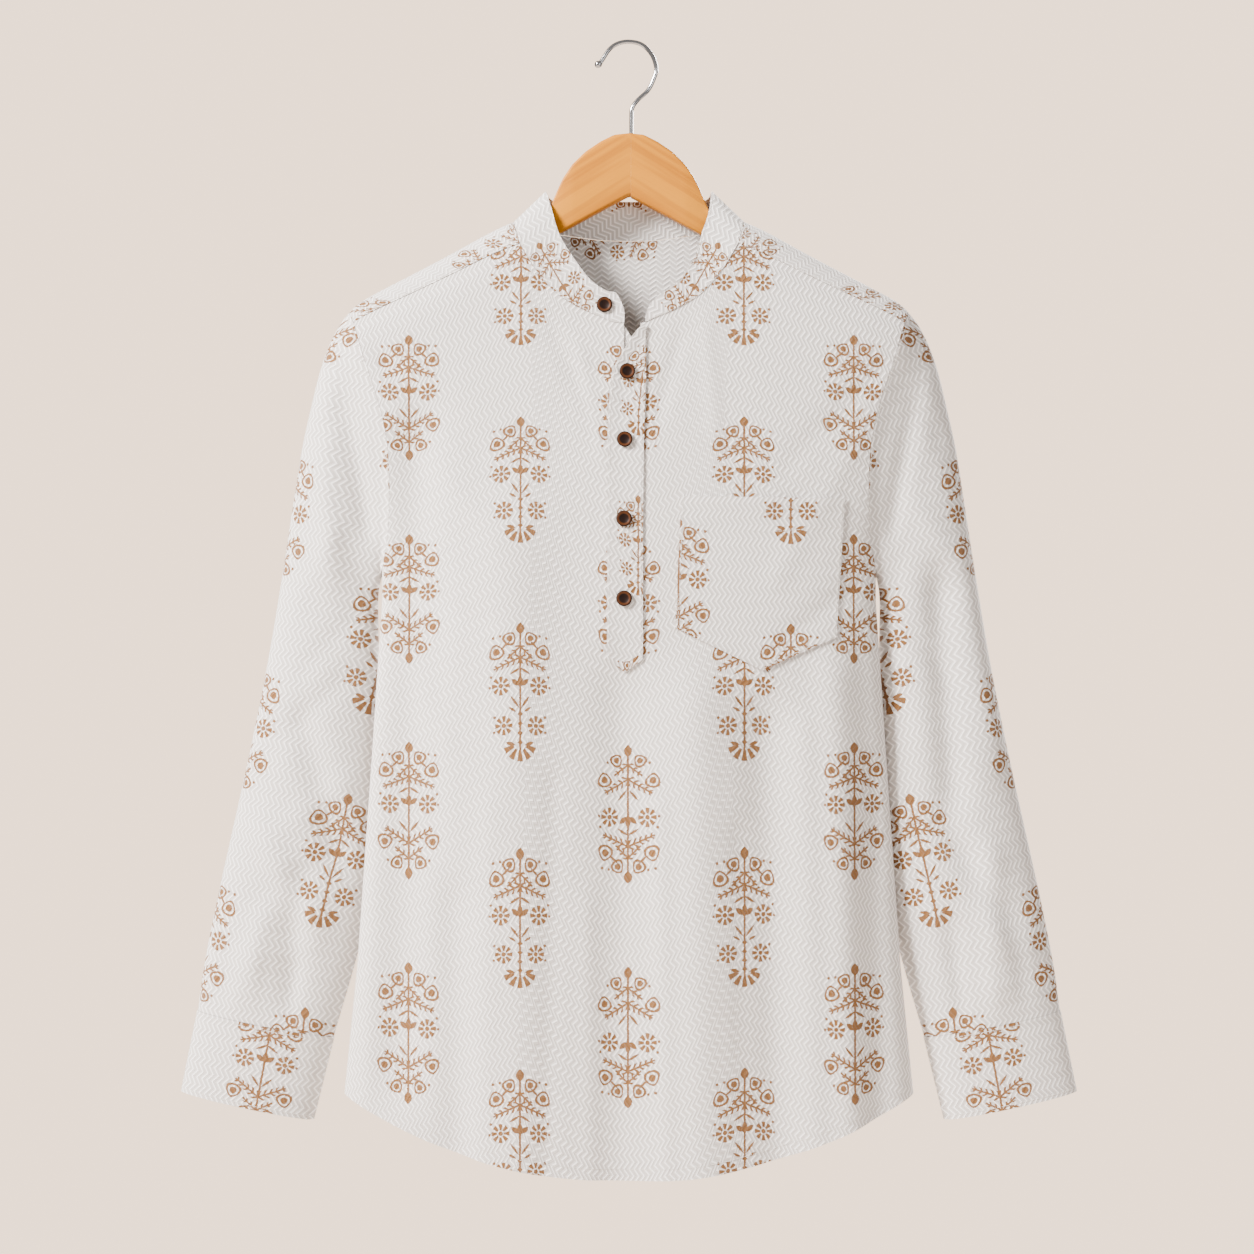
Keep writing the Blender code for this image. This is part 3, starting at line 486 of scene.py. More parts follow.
def yoke_points():
    """Rows of points of the yoke, from its back seam up and over to its front and neck seams."""
    starts = back_columns()
    middle = len(starts) // 2
    rows = []
    for way in YOKE_WAYS:
        row = []
        for column, (start, (end, last_turn)) in enumerate(zip(starts, yoke_ends())):
            first_turn = turn_at(ridge(start) - BACK_SEAM_Z)
            turn = first_turn + (last_turn - first_turn) * way
            limit = first_turn if turn > 0 else last_turn
            out = smoothstep((abs(end) - NECK_HALF) / (SHOULDER_HALF - NECK_HALF))
            from_corner = abs(abs(column - middle) - BACK_NECK_COLUMNS)
            near = max(1 - from_corner / NECK_ROUND_COLUMNS, 0)
            bulge = SHOULDER_ROUND * out * (1 - (turn / limit) ** 2)
            bulge += NECK_ROUND * near * 4 * way * (1 - way)
            x = start + (end - start) * way
            row.append(over_shoulder(x + math.copysign(bulge, x), turn))
        rows.append(row)
    return np.array(rows)


def armhole_loop(front, back, yoke, side):
    """The armhole's points: down the front, up the back and over the yoke's end."""
    edge = -1 if side > 0 else 0
    down = front[: ARMHOLE_ROWS + 1, edge]
    up = back[ARMHOLE_ROWS - 1 :: -1, edge]
    over = yoke[1:YOKE_ROWS, edge]
    return np.concatenate([down, up, over, down[:1]])


def ways_down(loop):
    """How far down its side of the armhole each point lies, and which side it is on."""
    ring = loop[:-1]
    top = int(np.argmax(ring[:, 2]))
    rolled = np.roll(ring, -top, axis=0)
    under = (ARMHOLE_ROWS - top) % len(ring)
    before = lengths(rolled[: under + 1])
    behind = lengths(np.concatenate([rolled[under:], rolled[:1]]))
    down = np.concatenate([before / before[-1], 1 - behind[1:-1] / behind[-1]])
    face = np.where(np.arange(len(ring)) < under, -1.0, 1.0)
    down, face = np.roll(down, top), np.roll(face, top)
    return np.append(down, down[0]), np.append(face, face[0])


def sleeve_rings(loop, side):
    """Rings of points of a sleeve from its armhole to its cuff seam, then of its cuff."""
    mirror = np.array([side, 1])
    outer = through(SLEEVE_OUTER, "x", "z") * mirror
    inner = through(SLEEVE_INNER, "x", "z") * mirror
    outer[0] = loop[np.argmax(loop[:, 2])][[0, 2]]
    down, face = ways_down(loop)
    round_way = 2 * np.sqrt(down * (1 - down))

    def ring(way, out, in_):
        depth = read(SLEEVE_FILL, "way", "depth", way)
        back = read(SLEEVE_FILL, "way", "back", way)
        flat = out + (in_ - out) * down[:, None]
        y = back + face * depth * round_way**LENS_POWER
        return np.stack([flat[:, 0], y, flat[:, 1]], axis=1)

    miss = loop - ring(0.0, outer[0], inner[0])
    rings = [loop]
    for way in np.linspace(0, 1, SLEEVE_ROWS + 1)[1:] ** SLEEVE_SPREAD:
        free = smoothstep(way / SLEEVE_JOIN)
        points = ring(way, spaced(outer, way), spaced(inner, way)) + miss * (1 - free)
        for point, towards, around in zip(points, face, round_way):
            share = around if towards < 0 else -BACK_FOLD_SHARE * around
            rise = folds(SLEEVE_FOLDS[side], point[0], point[2])
            point[1] -= rise * share * free * smoothstep((1 - way) / SLEEVE_SETTLE + FOLD_LEFT)
        rings.append(points)
    rings = np.array(rings)
    cuff = [rings[-1]]
    for way in np.linspace(0, 1, CUFF_ROWS + 1)[1:]:
        out = outer[-1] + (np.array(CUFF_OUTER) * mirror - outer[-1]) * way
        in_ = inner[-1] + (np.array(CUFF_INNER) * mirror - inner[-1]) * way
        cuff.append(ring(1 + CUFF_WAY * way, out, in_))
    return rings, np.array(cuff)


def collar_points(front, yoke):
    """Rows of points of the collar band, from the neck seam up, from its left end round to its right."""
    left_end = SHOULDER_COLUMNS + FRONT_NECK_COLUMNS
    right_start = left_end + 2
    left = front[0, left_end:SHOULDER_COLUMNS:-1]
    middle = yoke[-1, SHOULDER_COLUMNS : SHOULDER_COLUMNS + 2 * BACK_NECK_COLUMNS + 1]
    right = front[0, right_start + FRONT_NECK_COLUMNS - 1 : right_start - 1 : -1]
    seam = np.concatenate([left, middle, right])
    along = lengths(seam)
    half = len(seam) // 2
    tops = [int(np.argmax(seam[:half, 2])), half + int(np.argmax(seam[half:, 2]))]
    stretches = (
        (0, tops[0], through(COLLAR_TOP_LEFT, "x", "y", "z")[::-1]),
        (tops[0], tops[1], through(COLLAR_TOP_BACK, "x", "y", "z")),
        (tops[1], len(seam) - 1, through(COLLAR_TOP_RIGHT, "x", "y", "z")),
    )
    upper = np.empty_like(seam)
    for first, last, line in stretches:
        ways = (along[first : last + 1] - along[first]) / (along[last] - along[first])
        upper[first : last + 1] = spaced(line, ways)
    rows = []
    for way in np.linspace(0, 1, COLLAR_ROWS + 1):
        row = seam + (upper - seam) * way
        bulge = COLLAR_END_BULGE * math.sin(math.pi * way)
        row[0, 0] += bulge
        row[-1, 0] -= bulge
        rows.append(row)
    return np.array(rows)


def laid_on(sheet, x, z, out):
    """A point on the front panel's own faces at x, z, moved out of them."""
    hit, normal, _, _ = sheet.ray_cast(Vector((x, IN_FRONT_Y, z)), Vector((0, 1, 0)))
    if hit is None:
        return np.array(body_point(x, z, -1)) + (0, -out, 0)
    if normal.y > 0:
        normal = -normal
    return np.array(hit + normal * out)


def placket_over_points(place):
    """Rows of points of the over placket, down to its point."""
    rows = []
    ways = np.linspace(0, 1, PLACKET_ROWS - 1) ** PLACKET_ROW_POWER
    start = PLACKET_EDGES["z"][0]
    heights = list(start + (PLACKET_CORNER_Z - start) * ways)
    for z in heights + [PLACKET_POINT_Z]:
        left = read(PLACKET_EDGES, "z", "left", z)
        right = read(PLACKET_EDGES, "z", "right", z)
        row = []
        for way in np.linspace(0, 1, 2 * PLACKET_COLUMNS - 1):
            low = z
            if z == PLACKET_POINT_Z:
                fall = 1 - PLACKET_POINT_FALL * abs(2 * way - 1)
                low = PLACKET_CORNER_Z + (z - PLACKET_CORNER_Z) * fall
            row.append(place(left + (right - left) * way, low))
        rows.append(row)
    return np.array(rows)


def placket_under_points(place):
    """Rows of points of the under placket, behind the slit."""
    rows = []
    for down in np.linspace(0, 1, PLACKET_ROWS + 1):
        row = []
        for x in np.linspace(UNDER_LEFT, UNDER_RIGHT, PLACKET_COLUMNS + 1):
            top = read(UNDER_TOP, "x", "z", x)
            row.append(place(x, top + (UNDER_END_Z - top) * down))
        rows.append(row)
    return np.array(rows)


def pocket_points(place):
    """Rows of points of the pocket, from its top edge to its pointed bottom."""
    corner = {name: np.array(spot) for name, spot in POCKET.items()}
    rows = []
    for down in np.linspace(0, 1, POCKET_ROWS + 1):
        row = []
        for across in np.linspace(0, 1, POCKET_COLUMNS + 1):
            top = corner["top_left"] + (corner["top_right"] - corner["top_left"]) * across
            if across < 0.5:
                low = corner["low_left"] + (corner["point"] - corner["low_left"]) * across * 2
            else:
                low = corner["point"] + (corner["low_right"] - corner["point"]) * (across * 2 - 1)
            x, z = top + (low - top) * down
            row.append(place(x, z))
        rows.append(row)
    return np.array(rows)


def grid_mesh(points, **kept):
    """A sheet of faces through rows of points, in millimetres. Each point keeps the named numbers."""
    rows, columns = points.shape[:2]
    bm = bmesh.new()
    bmesh.ops.create_grid(bm, x_segments=columns - 1, y_segments=rows - 1, size=1)
    bm.verts.ensure_lookup_table()
    for vert, place in zip(bm.verts, points.reshape(-1, 3)):
        vert.co = place
    for name, values in kept.items():
        layer = bm.verts.layers.float_vector.new(name)
        bm.verts.ensure_lookup_table()
        for vert, value in zip(bm.verts, values.reshape(-1, 3)):
            vert[layer] = value
    bmesh.ops.remove_doubles(bm, verts=bm.verts, dist=WELD)
    return bm


def cut_slit(bm, points):
    """Opens the front panel from its neck down, in its slit column."""
    column = SHOULDER_COLUMNS + FRONT_NECK_COLUMNS
    bottom = points[SLIT_ROWS, column, 2]
    left, right = points[0, column : column + 2, 0] * SLIT_MARGIN
    inside = []
    for face in bm.faces:
        middle = face.calc_center_median()
        in_column = all(left < vert.co.x < right for vert in face.verts)
        if in_column and middle.z > bottom:
            inside.append(face)
    bmesh.ops.delete(bm, geom=inside, context="FACES")


def joined_normals(sheets):
    """Looks up the normal of the whole sewn surface at a point of any of its pieces."""
    whole = bmesh.new()
    for sheet in sheets:
        mesh = bpy.data.meshes.new("joined")
        sheet.to_mesh(mesh)
        whole.from_mesh(mesh)
        bpy.data.meshes.remove(mesh)
    bmesh.ops.remove_doubles(whole, verts=whole.verts, dist=WELD)
    bmesh.ops.recalc_face_normals(whole, faces=whole.faces)
    whole.normal_update()
    tree = KDTree(len(whole.verts))
    normals = []
    for index, vert in enumerate(whole.verts):
        tree.insert(vert.co, index)
        normals.append(vert.normal.copy())
    tree.balance()
    whole.free()
    front = tree.find(Vector(FRONT_SPOT))[1]
    flip = -1 if normals[front].y > 0 else 1
    return lambda place: normals[tree.find(place)[1]] * flip


def pull_in_edges(bm, distance):
    """Moves the open edges of a sheet in, within its own surface."""
    moves = {}
    for vert in bm.verts:
        inward = []
        for edge in vert.link_edges:
            if edge.is_boundary:
                face = edge.link_faces[0]
                middle = (edge.verts[0].co + edge.verts[1].co) / 2
                along = (edge.verts[1].co - edge.verts[0].co).normalized()
                towards = face.calc_center_median() - middle
                inward.append((towards - along * towards.dot(along)).normalized())
        if len(inward) == 2:
            spread = 1 + inward[0].dot(inward[1])
            if spread > NARROW_CORNER:
                moves[vert] = (inward[0] + inward[1]) * distance / spread
            else:
                moves[vert] = (inward[0] + inward[1]).normalized() * distance
    for vert, move in moves.items():
        vert.co += move


def swept_mesh(rings):
    """A closed solid through rings of points, capped at both ends, in metres."""
    closed = np.concatenate([rings, rings[:, :1]], axis=1)
    bm = grid_mesh(closed)
    open_edges = [edge for edge in bm.edges if edge.is_boundary]
    bmesh.ops.holes_fill(bm, edges=open_edges, sides=0)
    bmesh.ops.recalc_face_normals(bm, faces=bm.faces)
    bmesh.ops.scale(bm, vec=(MM, MM, MM), verts=bm.verts)
    return bm


def hook_rings():
    """Rings round the hook wire, from its ball tip to the wood."""
    line = through(HOOK, "x", "z")
    line[-1, 1] = ARM["top"][0] + HANGER_REST
    along = np.linspace(0, 1, WIRE_RINGS + 1)
    total = lengths(line)[-1]
    ball = np.array(BALL_WAYS) * BALL_RADIUS / total
    ways = np.concatenate([ball, ball[-1] + (1 - ball[-1]) * along[1:]])
    centres = spaced(line, ways)
    tangents = np.gradient(centres, axis=0)
    tangents /= np.linalg.norm(tangents, axis=1)[:, None]
    rings = []
    for way, centre, tangent in zip(ways, centres, tangents):
        from_tip = way * total
        radius = math.sqrt(max(BALL_RADIUS**2 - (from_tip - BALL_RADIUS) ** 2, 0))
        if from_tip > BALL_RADIUS:
            radius = max(radius, WIRE_RADIUS)
        ring = []
        for step in range(WIRE_SIDES):
            turn = 2 * math.pi * step / WIRE_SIDES
            flat = centre + radius * math.cos(turn) * np.array([-tangent[1], tangent[0]])
            ring.append((flat[0], radius * math.sin(turn), flat[1]))
        rings.append(ring)
    return np.array(rings)


def arm_sizes(x):
    """Top, bottom, thickness and edge radius of a wooden arm at a distance from the middle."""
    last = ARM["x"][-1]
    if x <= last:
        return [read(ARM, "x", column, x) for column in ("top", "bottom", "thick", "round")]
    way = (x - last) / (HANGER_TIP_X - last)
    seat = WALL / 2 + HANGER_REST + HANGER_SINK + HANGER_SINK_TIP * way
    height = ARM["top"][-1] - ARM["bottom"][-1]
    thick = ARM["thick"][-1] + (ARM_THICK_TIP - ARM["thick"][-1]) * way
    top = ridge(x) - seat
    return [top, top - (height + (ARM_HEIGHT_TIP - height) * way), thick, thick / 2 - HANGER_FLAT]


def arm_rings(side):
    """Rings round one wooden arm, from the mitre to its rounded tip under the shoulder."""
    mitre = MITRE_X * side + MITRE_GAP / 2
    shown = np.linspace(mitre, ARM["x"][-1], ARM_SHOWN_STEPS + 1)
    under = np.linspace(ARM["x"][-1], HANGER_TIP_X, ARM_STEPS + 1)[1:]
    rings = []
    for x in [*shown, *under, HANGER_TIP_X + HANGER_END_X]:
        top, bottom, thick, edge = arm_sizes(min(x, HANGER_TIP_X))
        if x > HANGER_TIP_X:
            top -= HANGER_END_TOP
            bottom += HANGER_END_BOTTOM
            thick *= HANGER_END_SHARE
            edge *= HANGER_END_SHARE
        ring = []
        for corner_y, corner_z, first in ((1, 1, 0), (-1, 1, 90), (-1, -1, 180), (1, -1, 270)):
            for turn in np.linspace(first, first + 90, ARM_CORNER_STEPS + 1):
                angle = math.radians(turn)
                y = corner_y * (thick / 2 - edge) + edge * math.cos(angle)
                centre_z = top - edge if corner_z > 0 else bottom + edge
                ring.append((x * side, y, centre_z + edge * math.sin(angle)))
        rings.append(ring)
    return np.array(rings)


def button_mesh():
    """A turned button, its back at height 0."""
    bm = bmesh.new()
    verts = [
        bm.verts.new((radius, 0, height))
        for radius, height in zip(BUTTON_PROFILE["radius"], BUTTON_PROFILE["height"])
    ]
    edges = [bm.edges.new(pair) for pair in zip(verts, verts[1:])]
    bmesh.ops.spin(
        bm, geom=verts + edges, cent=(0, 0, 0), axis=(0, 0, 1), angle=2 * math.pi, steps=BUTTON_SIDES,
        use_merge=True,
    )
    bmesh.ops.remove_doubles(bm, verts=bm.verts, dist=WELD)
    return bm


def button_seat(sheet, x, z):
    """Where a button's back lies above the faces of the cloth under it, and the way it looks."""
    hits = []
    for step in range(BUTTON_SIDES):
        turn = 2 * math.pi * step / BUTTON_SIDES
        aside = BUTTON_RADIUS * math.cos(turn)
        start = Vector((x + aside, IN_FRONT_Y, z + BUTTON_RADIUS * math.sin(turn)))
        hit = sheet.ray_cast(start, Vector((0, 1, 0)))[0]
        if hit is not None:
            hits.append(hit)
    centre = sheet.ray_cast(Vector((x, IN_FRONT_Y, z)), Vector((0, 1, 0)))[0]
    spots = np.array(hits + [centre])
    slope = np.linalg.lstsq(
        np.column_stack([spots[:, 0], spots[:, 2], np.ones(len(spots))]), spots[:, 1], rcond=None
    )[0]
    normal = Vector((slope[0], -1, slope[1])).normalized()
    flat = spots @ np.array(normal)
    height = float(flat.max()) + WALL / 2 + SEAM_GAP
    foot = Vector((x, 0, z))
    foot.y = (height - normal.x * x - normal.z * z) / normal.y
    return foot, normal


# Finer creases, added to the soft folds above
FINE_FRONT = fold_table(
    (-196, -262, -120, -330, 7, -1.6), (-185, -300, -110, -400, 8, 1.4), (200, -268, 130, -340, 7, -1.5),
    (186, -320, 120, -430, 8, 1.2), (-60, -240, -30, -300, 6, -1.2), (-40, -250, -22, -330, 5, 1.0),
    (40, -245, 24, -300, 6, -1.3), (62, -235, 70, -320, 7, 1.1), (-24, -268, -50, -276, 5, -0.9),
    (-24, -322, -52, -332, 5, -0.8), (-24, -386, -48, -392, 5, -0.7), (-192, -430, -120, -470, 8, -1.8),
    (192, -430, 130, -480, 8, -1.6), (-195, -460, -150, -560, 9, 1.5), (-60, -600, -66, -900, 9, -1.4),
    (24, -620, 30, -930, 8, 1.5), (-34, -700, -30, -940, 8, 1.2), (88, -640, 92, -920, 8, -1.3),
    (140, -560, 150, -900, 9, 1.6), (-206, -640, -214, -860, 8, 1.6), (-112, -620, -118, -940, 8, 1.3),
    (22, -300, 60, -318, 6, 0.9), (-150, -440, -158, -640, 9, -1.3), (186, -470, 200, -660, 8, -1.5),
)
FINE_BACK = fold_table(
    (-170, -262, -90, -340, 8, -1.5), (176, -266, 100, -350, 8, -1.6), (-20, -262, -30, -380, 7, -1.1),
    (30, -262, 44, -400, 8, 1.1), (-192, -430, -110, -480, 8, -1.7), (192, -432, 120, -476, 8, -1.6),
    (-34, -560, -30, -900, 9, -1.4), (44, -600, 52, -920, 8, 1.5), (-100, -620, -108, -930, 8, 1.4),
    (96, -580, 104, -900, 9, -1.5), (150, -640, 160, -900, 8, 1.3), (-150, -560, -160, -880, 9, 1.4),
    (-206, -600, -214, -840, 7, -1.2),
)
FINE_SLEEVES = {
    -1: fold_table(
        (-236, -300, -262, -330, 7, -1.4), (-240, -400, -270, -450, 9, 1.5),
        (-228, -470, -262, -505, 7, -1.5),
        (-236, -520, -280, -560, 7, -1.8), (-230, -600, -285, -640, 8, 1.6),
        (-245, -660, -300, -690, 7, -1.5),
        (-255, -730, -330, -745, 6, 1.4), (-270, -752, -276, -800, 5, -1.4), (-300, -746, -307, -795, 5, 1.3),
        (-325, -735, -333, -785, 5, -1.2), (-290, -560, -305, -620, 9, -1.3),
    ),
    1: fold_table(
        (238, -296, 262, -340, 7, -1.4), (236, -380, 266, -420, 8, 1.5), (232, -480, 270, -530, 8, -1.7),
        (240, -560, 292, -590, 7, 1.5), (236, -640, 300, -672, 7, -1.7), (250, -700, 322, -722, 7, 1.5),
        (262, -740, 330, -752, 6, -1.3), (272, -750, 279, -800, 5, 1.3), (298, -742, 306, -796, 5, -1.4),
        (324, -732, 331, -786, 5, 1.2), (296, -470, 306, -560, 8, -1.2),
    ),
}

# Where the columns of the print lie across the body, and where its motifs lie down the even and odd ones
PRINT_ACROSS = ((-177, -86.7, -1, 92.3, 180.6), (-2, -1, 0, 1, 2))
PRINT_EVEN = ((960, 800, 620, 449.6, 289, 130), (3.9, 3, 2, 1, 0, -1))
PRINT_ODD = ((880, 707.6, 523.7, 353.6, 199.7, 60), (3.5, 2.5, 1.5, 0.5, -0.5, -1.4))
# Where the motifs lie down a sleeve
SLEEVE_START = (225.0, -217.0)
SLEEVE_WAY = (0.215, -0.977)
SLEEVE_FIRST = 174.6
SLEEVE_REPEAT = 176.0
CUFF_MOTIF = (66.0, 612.0)
# The pocket's own print: where one motif lies, its column, and how far apart they are
POCKET_MOTIF = (129.4, 354.6)
POCKET_COLUMN = 5
POCKET_PITCH = (90.0, 170.0)
# How far its weave is shifted against the front's
POCKET_WEAVE = 2.0
# The plackets' print: how far apart the motifs are, and where each placket starts in them
PLACKET_PITCH = (62.0, 128.0)
PLACKET_OVER_START = (2.6, 0.1)
PLACKET_UNDER_START = (2.1, 0.4)
# Where the yoke's and the collar's print start
YOKE_START = (0.05, 0.1)
COLLAR_START = (-0.2, 0.12)
# A column of the print that the folded ones start from
FIRST_COLUMN = 4
# How far from its armhole edge the yoke becomes double
SHARE_WIDTH = 14.0
COLUMN_PITCH = 90.0
# How much smaller the turned print of the yoke, collar and placket lies
YOKE_PRINT = 1.25
COLLAR_PRINT = 1.4
# The way the collar's cloth runs, across and up
COLLAR_SLOPE = (0.55, 0.83)
REPEAT = 165.0

# How much deeper the soft folds are than the solids' own
FOLD_DEPTH = 1.3
# How far the free edge of the placket and the mouth of the pocket stand off
EDGE_LIFT = 1.8
EDGE_WIDTH = 12.0
EDGE_TOP = (-330.0, 60.0)
MOUTH_LIFT = 1.6
MOUTH_DEPTH = 22.0
# The share of its lift that the placket's edge keeps below its top
EDGE_LEFT = 0.35
# Keeps a direction from having no length
TINY = 1e-6

# Stitches
STITCH = 2.6
STITCH_GAP = 1.0
STITCH_RADIUS = 0.2
STITCH_SIDES = 5
# Which part of its own length a stitch starts at
STITCH_START = 0.1
# How many rows or columns of its grid a row of stitches lies in from an edge
IN_FROM_EDGE = 0.6
HEM_IN = 1.4
HEM_ENDS_IN = 0.5
ARMHOLE_IN = 0.9
PLACKET_IN = 0.9
PLACKET_TOP_IN = 4
PLACKET_LOW_IN = 1
CUFF_TOP_IN = 0.5
YOKE_FRONT_IN = 0.8
YOKE_ENDS_IN = 9
POCKET_TOP_IN = 0.4
# How far down the pocket its hem is sewn
POCKET_HEM = 24.0 / 118.0
# The last place on a grid, and the last stitch round a ring, lie this far before the count of columns
GRID_END = 1.001
RING_END = 1.002

# Scene
FLOOR_Z = -1.35
FLOOR_SIZE = 1.7
CAMERA_AT = (-0.0016, -2.4, -0.4727)
CAMERA_LENS = 85.0
CAMERA_SENSOR = 36.0
WORLD_SHOWN = 2.9
FLOOR_SIDES = 96
# Each light: name, place, size, watts and tint. All look at one point.
LIGHTS_AIM = (0, 0, -0.45)
LIGHTS = (
    ("key", (-2.4, -1.5, 1.3), 0.9, 640.0, (1.0, 0.965, 0.93)),
    ("fill", (2.0, -2.2, -0.1), 1.6, 40.0, (1.0, 0.98, 0.96)),
    ("behind", (1.6, 2.4, 0.9), 1.4, 360.0, (1.0, 0.965, 0.93)),
)


def joined(*tables):
    return {key: np.concatenate([rows[key] for rows in tables]) for key in tables[0]}


def deeper(rows):
    """The same folds, a little deeper."""
    return {**rows, "height": rows["height"] * FOLD_DEPTH}


def smooth(rows):
    """The same table with a smooth line of rows through its own."""
    return dict(zip(rows, through(rows, *rows).T))


RIDGE = smooth(RIDGE)
FRONT_NECK = smooth(FRONT_NECK)
ARMHOLE = smooth(ARMHOLE)
FRONT_FOLDS = joined(deeper(FRONT_FOLDS), FINE_FRONT)
BACK_FOLDS = joined(deeper(BACK_FOLDS), FINE_BACK)
SLEEVE_FOLDS = {side: joined(deeper(rows), FINE_SLEEVES[side]) for side, rows in SLEEVE_FOLDS.items()}


def stretched(value, places, steps):
    """Reads a line through some places, carried on straight past both ends."""
    places, steps = np.array(places, float), np.array(steps, float)
    order = np.argsort(places)
    places, steps = places[order], steps[order]
    inside = np.interp(value, places, steps)
    before = (steps[1] - steps[0]) / (places[1] - places[0]) * np.minimum(value - places[0], 0)
    after = (steps[-1] - steps[-2]) / (places[-1] - places[-2]) * np.maximum(value - places[-1], 0)
    return inside + before + after


# Expressions for node trees


class Value:
    """A number in a node tree, which Python's arithmetic extends with Math nodes."""

    def __init__(self, look, socket):
        self.look = look
        self.socket = socket

    def math(self, operation, *others):
        inputs = {index: item for index, item in enumerate((self, *others))}
        return self.look.node("ShaderNodeMath", {"operation": operation}, inputs)

    def __add__(self, other):
        return self.math("ADD", other)

    def __sub__(self, other):
        return self.math("SUBTRACT", other)

    def __mul__(self, other):
        return self.math("MULTIPLY", other)

    def __truediv__(self, other):
        return self.math("DIVIDE", other)

    __radd__ = __add__
    __rmul__ = __mul__

    def __rsub__(self, other):
        return self.look.node("ShaderNodeMath", {"operation": "SUBTRACT"}, {0: other, 1: self})

    def __neg__(self):
        return self * -1

    def __abs__(self):
        return self.math("ABSOLUTE")

    def times_add(self, factor, other):
        return self.math("MULTIPLY_ADD", factor, other)

    def least(self, other):
        return self.math("MINIMUM", other)

    def most(self, other):
        return self.math("MAXIMUM", other)

    def nearest(self):
        return self.math("ROUND")

    def root(self):
        return self.math("SQRT")

    def cosine(self):
        return self.math("COSINE")

    def to_and_fro(self, length):
        return self.math("PINGPONG", length)

    def step_up(self, start, end):
        """0 at the start and 1 at the end, with soft ends."""
        inputs = {"Value": self, "From Min": start, "From Max": end}
        return self.look.node("ShaderNodeMapRange", {"interpolation_type": "SMOOTHSTEP"}, inputs)


class Look:
    """A material or world whose nodes are written as expressions."""

    def __init__(self, holder, shader="Principled BSDF"):
        holder.use_nodes = True
        self.holder = holder
        self.tree = holder.node_tree
        self.shader = self.tree.nodes[shader]

    def node(self, kind, settings=None, inputs=None, output=0):
        made = self.tree.nodes.new(kind)
        for key, value in (settings or {}).items():
            setattr(made, key, value)
        for key, value in (inputs or {}).items():
            self.feed(made.inputs[key], value)
        return Value(self, made.outputs[output])

    def feed(self, socket, value):
        if isinstance(value, Value):
            self.tree.links.new(value.socket, socket)
        else:
            socket.default_value = (*value, 1.0) if socket.type == "RGBA" else value

    def set(self, **inputs):
        for key, value in inputs.items():
            self.feed(self.shader.inputs[key.replace("_", " ")], value)
        return self

    def attribute(self, name):
        """The three numbers that each point of the piece holds under this name."""
        return self.parts(self.node("ShaderNodeAttribute", {"attribute_name": name}, output="Vector"))

    def parts(self, vector):
        first = self.node("ShaderNodeSeparateXYZ", None, {0: vector})
        return [Value(self, socket) for socket in first.socket.node.outputs]

    def joined(self, x, y, z=0.0):
        return self.node("ShaderNodeCombineXYZ", None, {0: x, 1: y, 2: z})

    def mix(self, factor, first, second):
        inputs = {0: factor, 6: first, 7: second}
        return self.node("ShaderNodeMix", {"data_type": "RGBA"}, inputs, output=2)

    def noise(self, vector, scale, detail=2.0, roughness=0.5):
        inputs = {"Vector": vector, "Scale": scale, "Detail": detail, "Roughness": roughness}
        return self.node("ShaderNodeTexNoise", None, inputs, output="Fac")

    def bump(self, height, distance, strength=1.0):
        inputs = {"Height": height, "Distance": distance, "Strength": strength}
        return self.node("ShaderNodeBump", None, inputs)


# The print: half widths of its outlines, twigs and stem, the stem's ends, and what repeats in shapes
OUTLINE = 0.6
TWIG = 0.55
STEM = 0.62
STEM_ENDS = (-46.0, 46.0)
FROND_PITCH = 4.8
PETALS = 8
FAN_PETALS = 11
FAN_Y = -37.0
BEADS_Y = -30.0
BEAD_PITCH = 3.4
# The way of the wood's grain: how far out and down
GRAIN_WAY = (0.85, 0.53)
# The weave: half the height and width of a zigzag, and its slope
ZIGZAG_DOWN = 5.6
ZIGZAG_ACROSS = 2.1
ZIGZAG_SLOPE = 0.72

# The block print, as distances into its shapes in millimetres. x is folded: each shape has a mirror image.


def reach_of(aside, up):
    return (aside * aside + up * up).root()


def disc(x, y, at_x, at_y, radius):
    return radius - reach_of(x - at_x, y - at_y)


def turned(x, y, at_x, at_y, degrees):
    """Places along and across a line that leaves a point at this angle."""
    cosine, sine = math.cos(math.radians(degrees)), math.sin(math.radians(degrees))
    aside, up = x - at_x, y - at_y
    return aside.times_add(cosine, up * sine), up.times_add(cosine, aside * -sine)


def leaf(x, y, at_x, at_y, degrees, half_length, half_width):
    """A pointed leaf about a point."""
    along, across = turned(x, y, at_x, at_y, degrees)
    return (along * along).times_add(-half_width / half_length**2, half_width) - abs(across)


def drop(x, y, at_x, at_y, degrees, radius):
    """A solid teardrop in its outline, whose point is towards the angle."""
    along, across = turned(x, y, at_x, at_y, degrees)
    narrow = along.times_add(-0.32 / radius, 1.0)
    wide = abs(across) / narrow.most(0.35)
    away = reach_of(along, wide)
    ring = OUTLINE - abs(away - radius)
    return ring.most(radius * 0.5 - away)


def daisy(x, y, at_x, at_y, radius):
    """Eight petals round a dot."""
    aside, up = x - at_x, y - at_y
    away = reach_of(aside, up)
    petal = (aside.math("ARCTAN2", up) * PETALS).cosine().times_add(0.25, 0.06) * away
    petals = (away - radius * 0.42).least(radius - away).least(petal)
    return petals.most(radius * 0.22 - away)


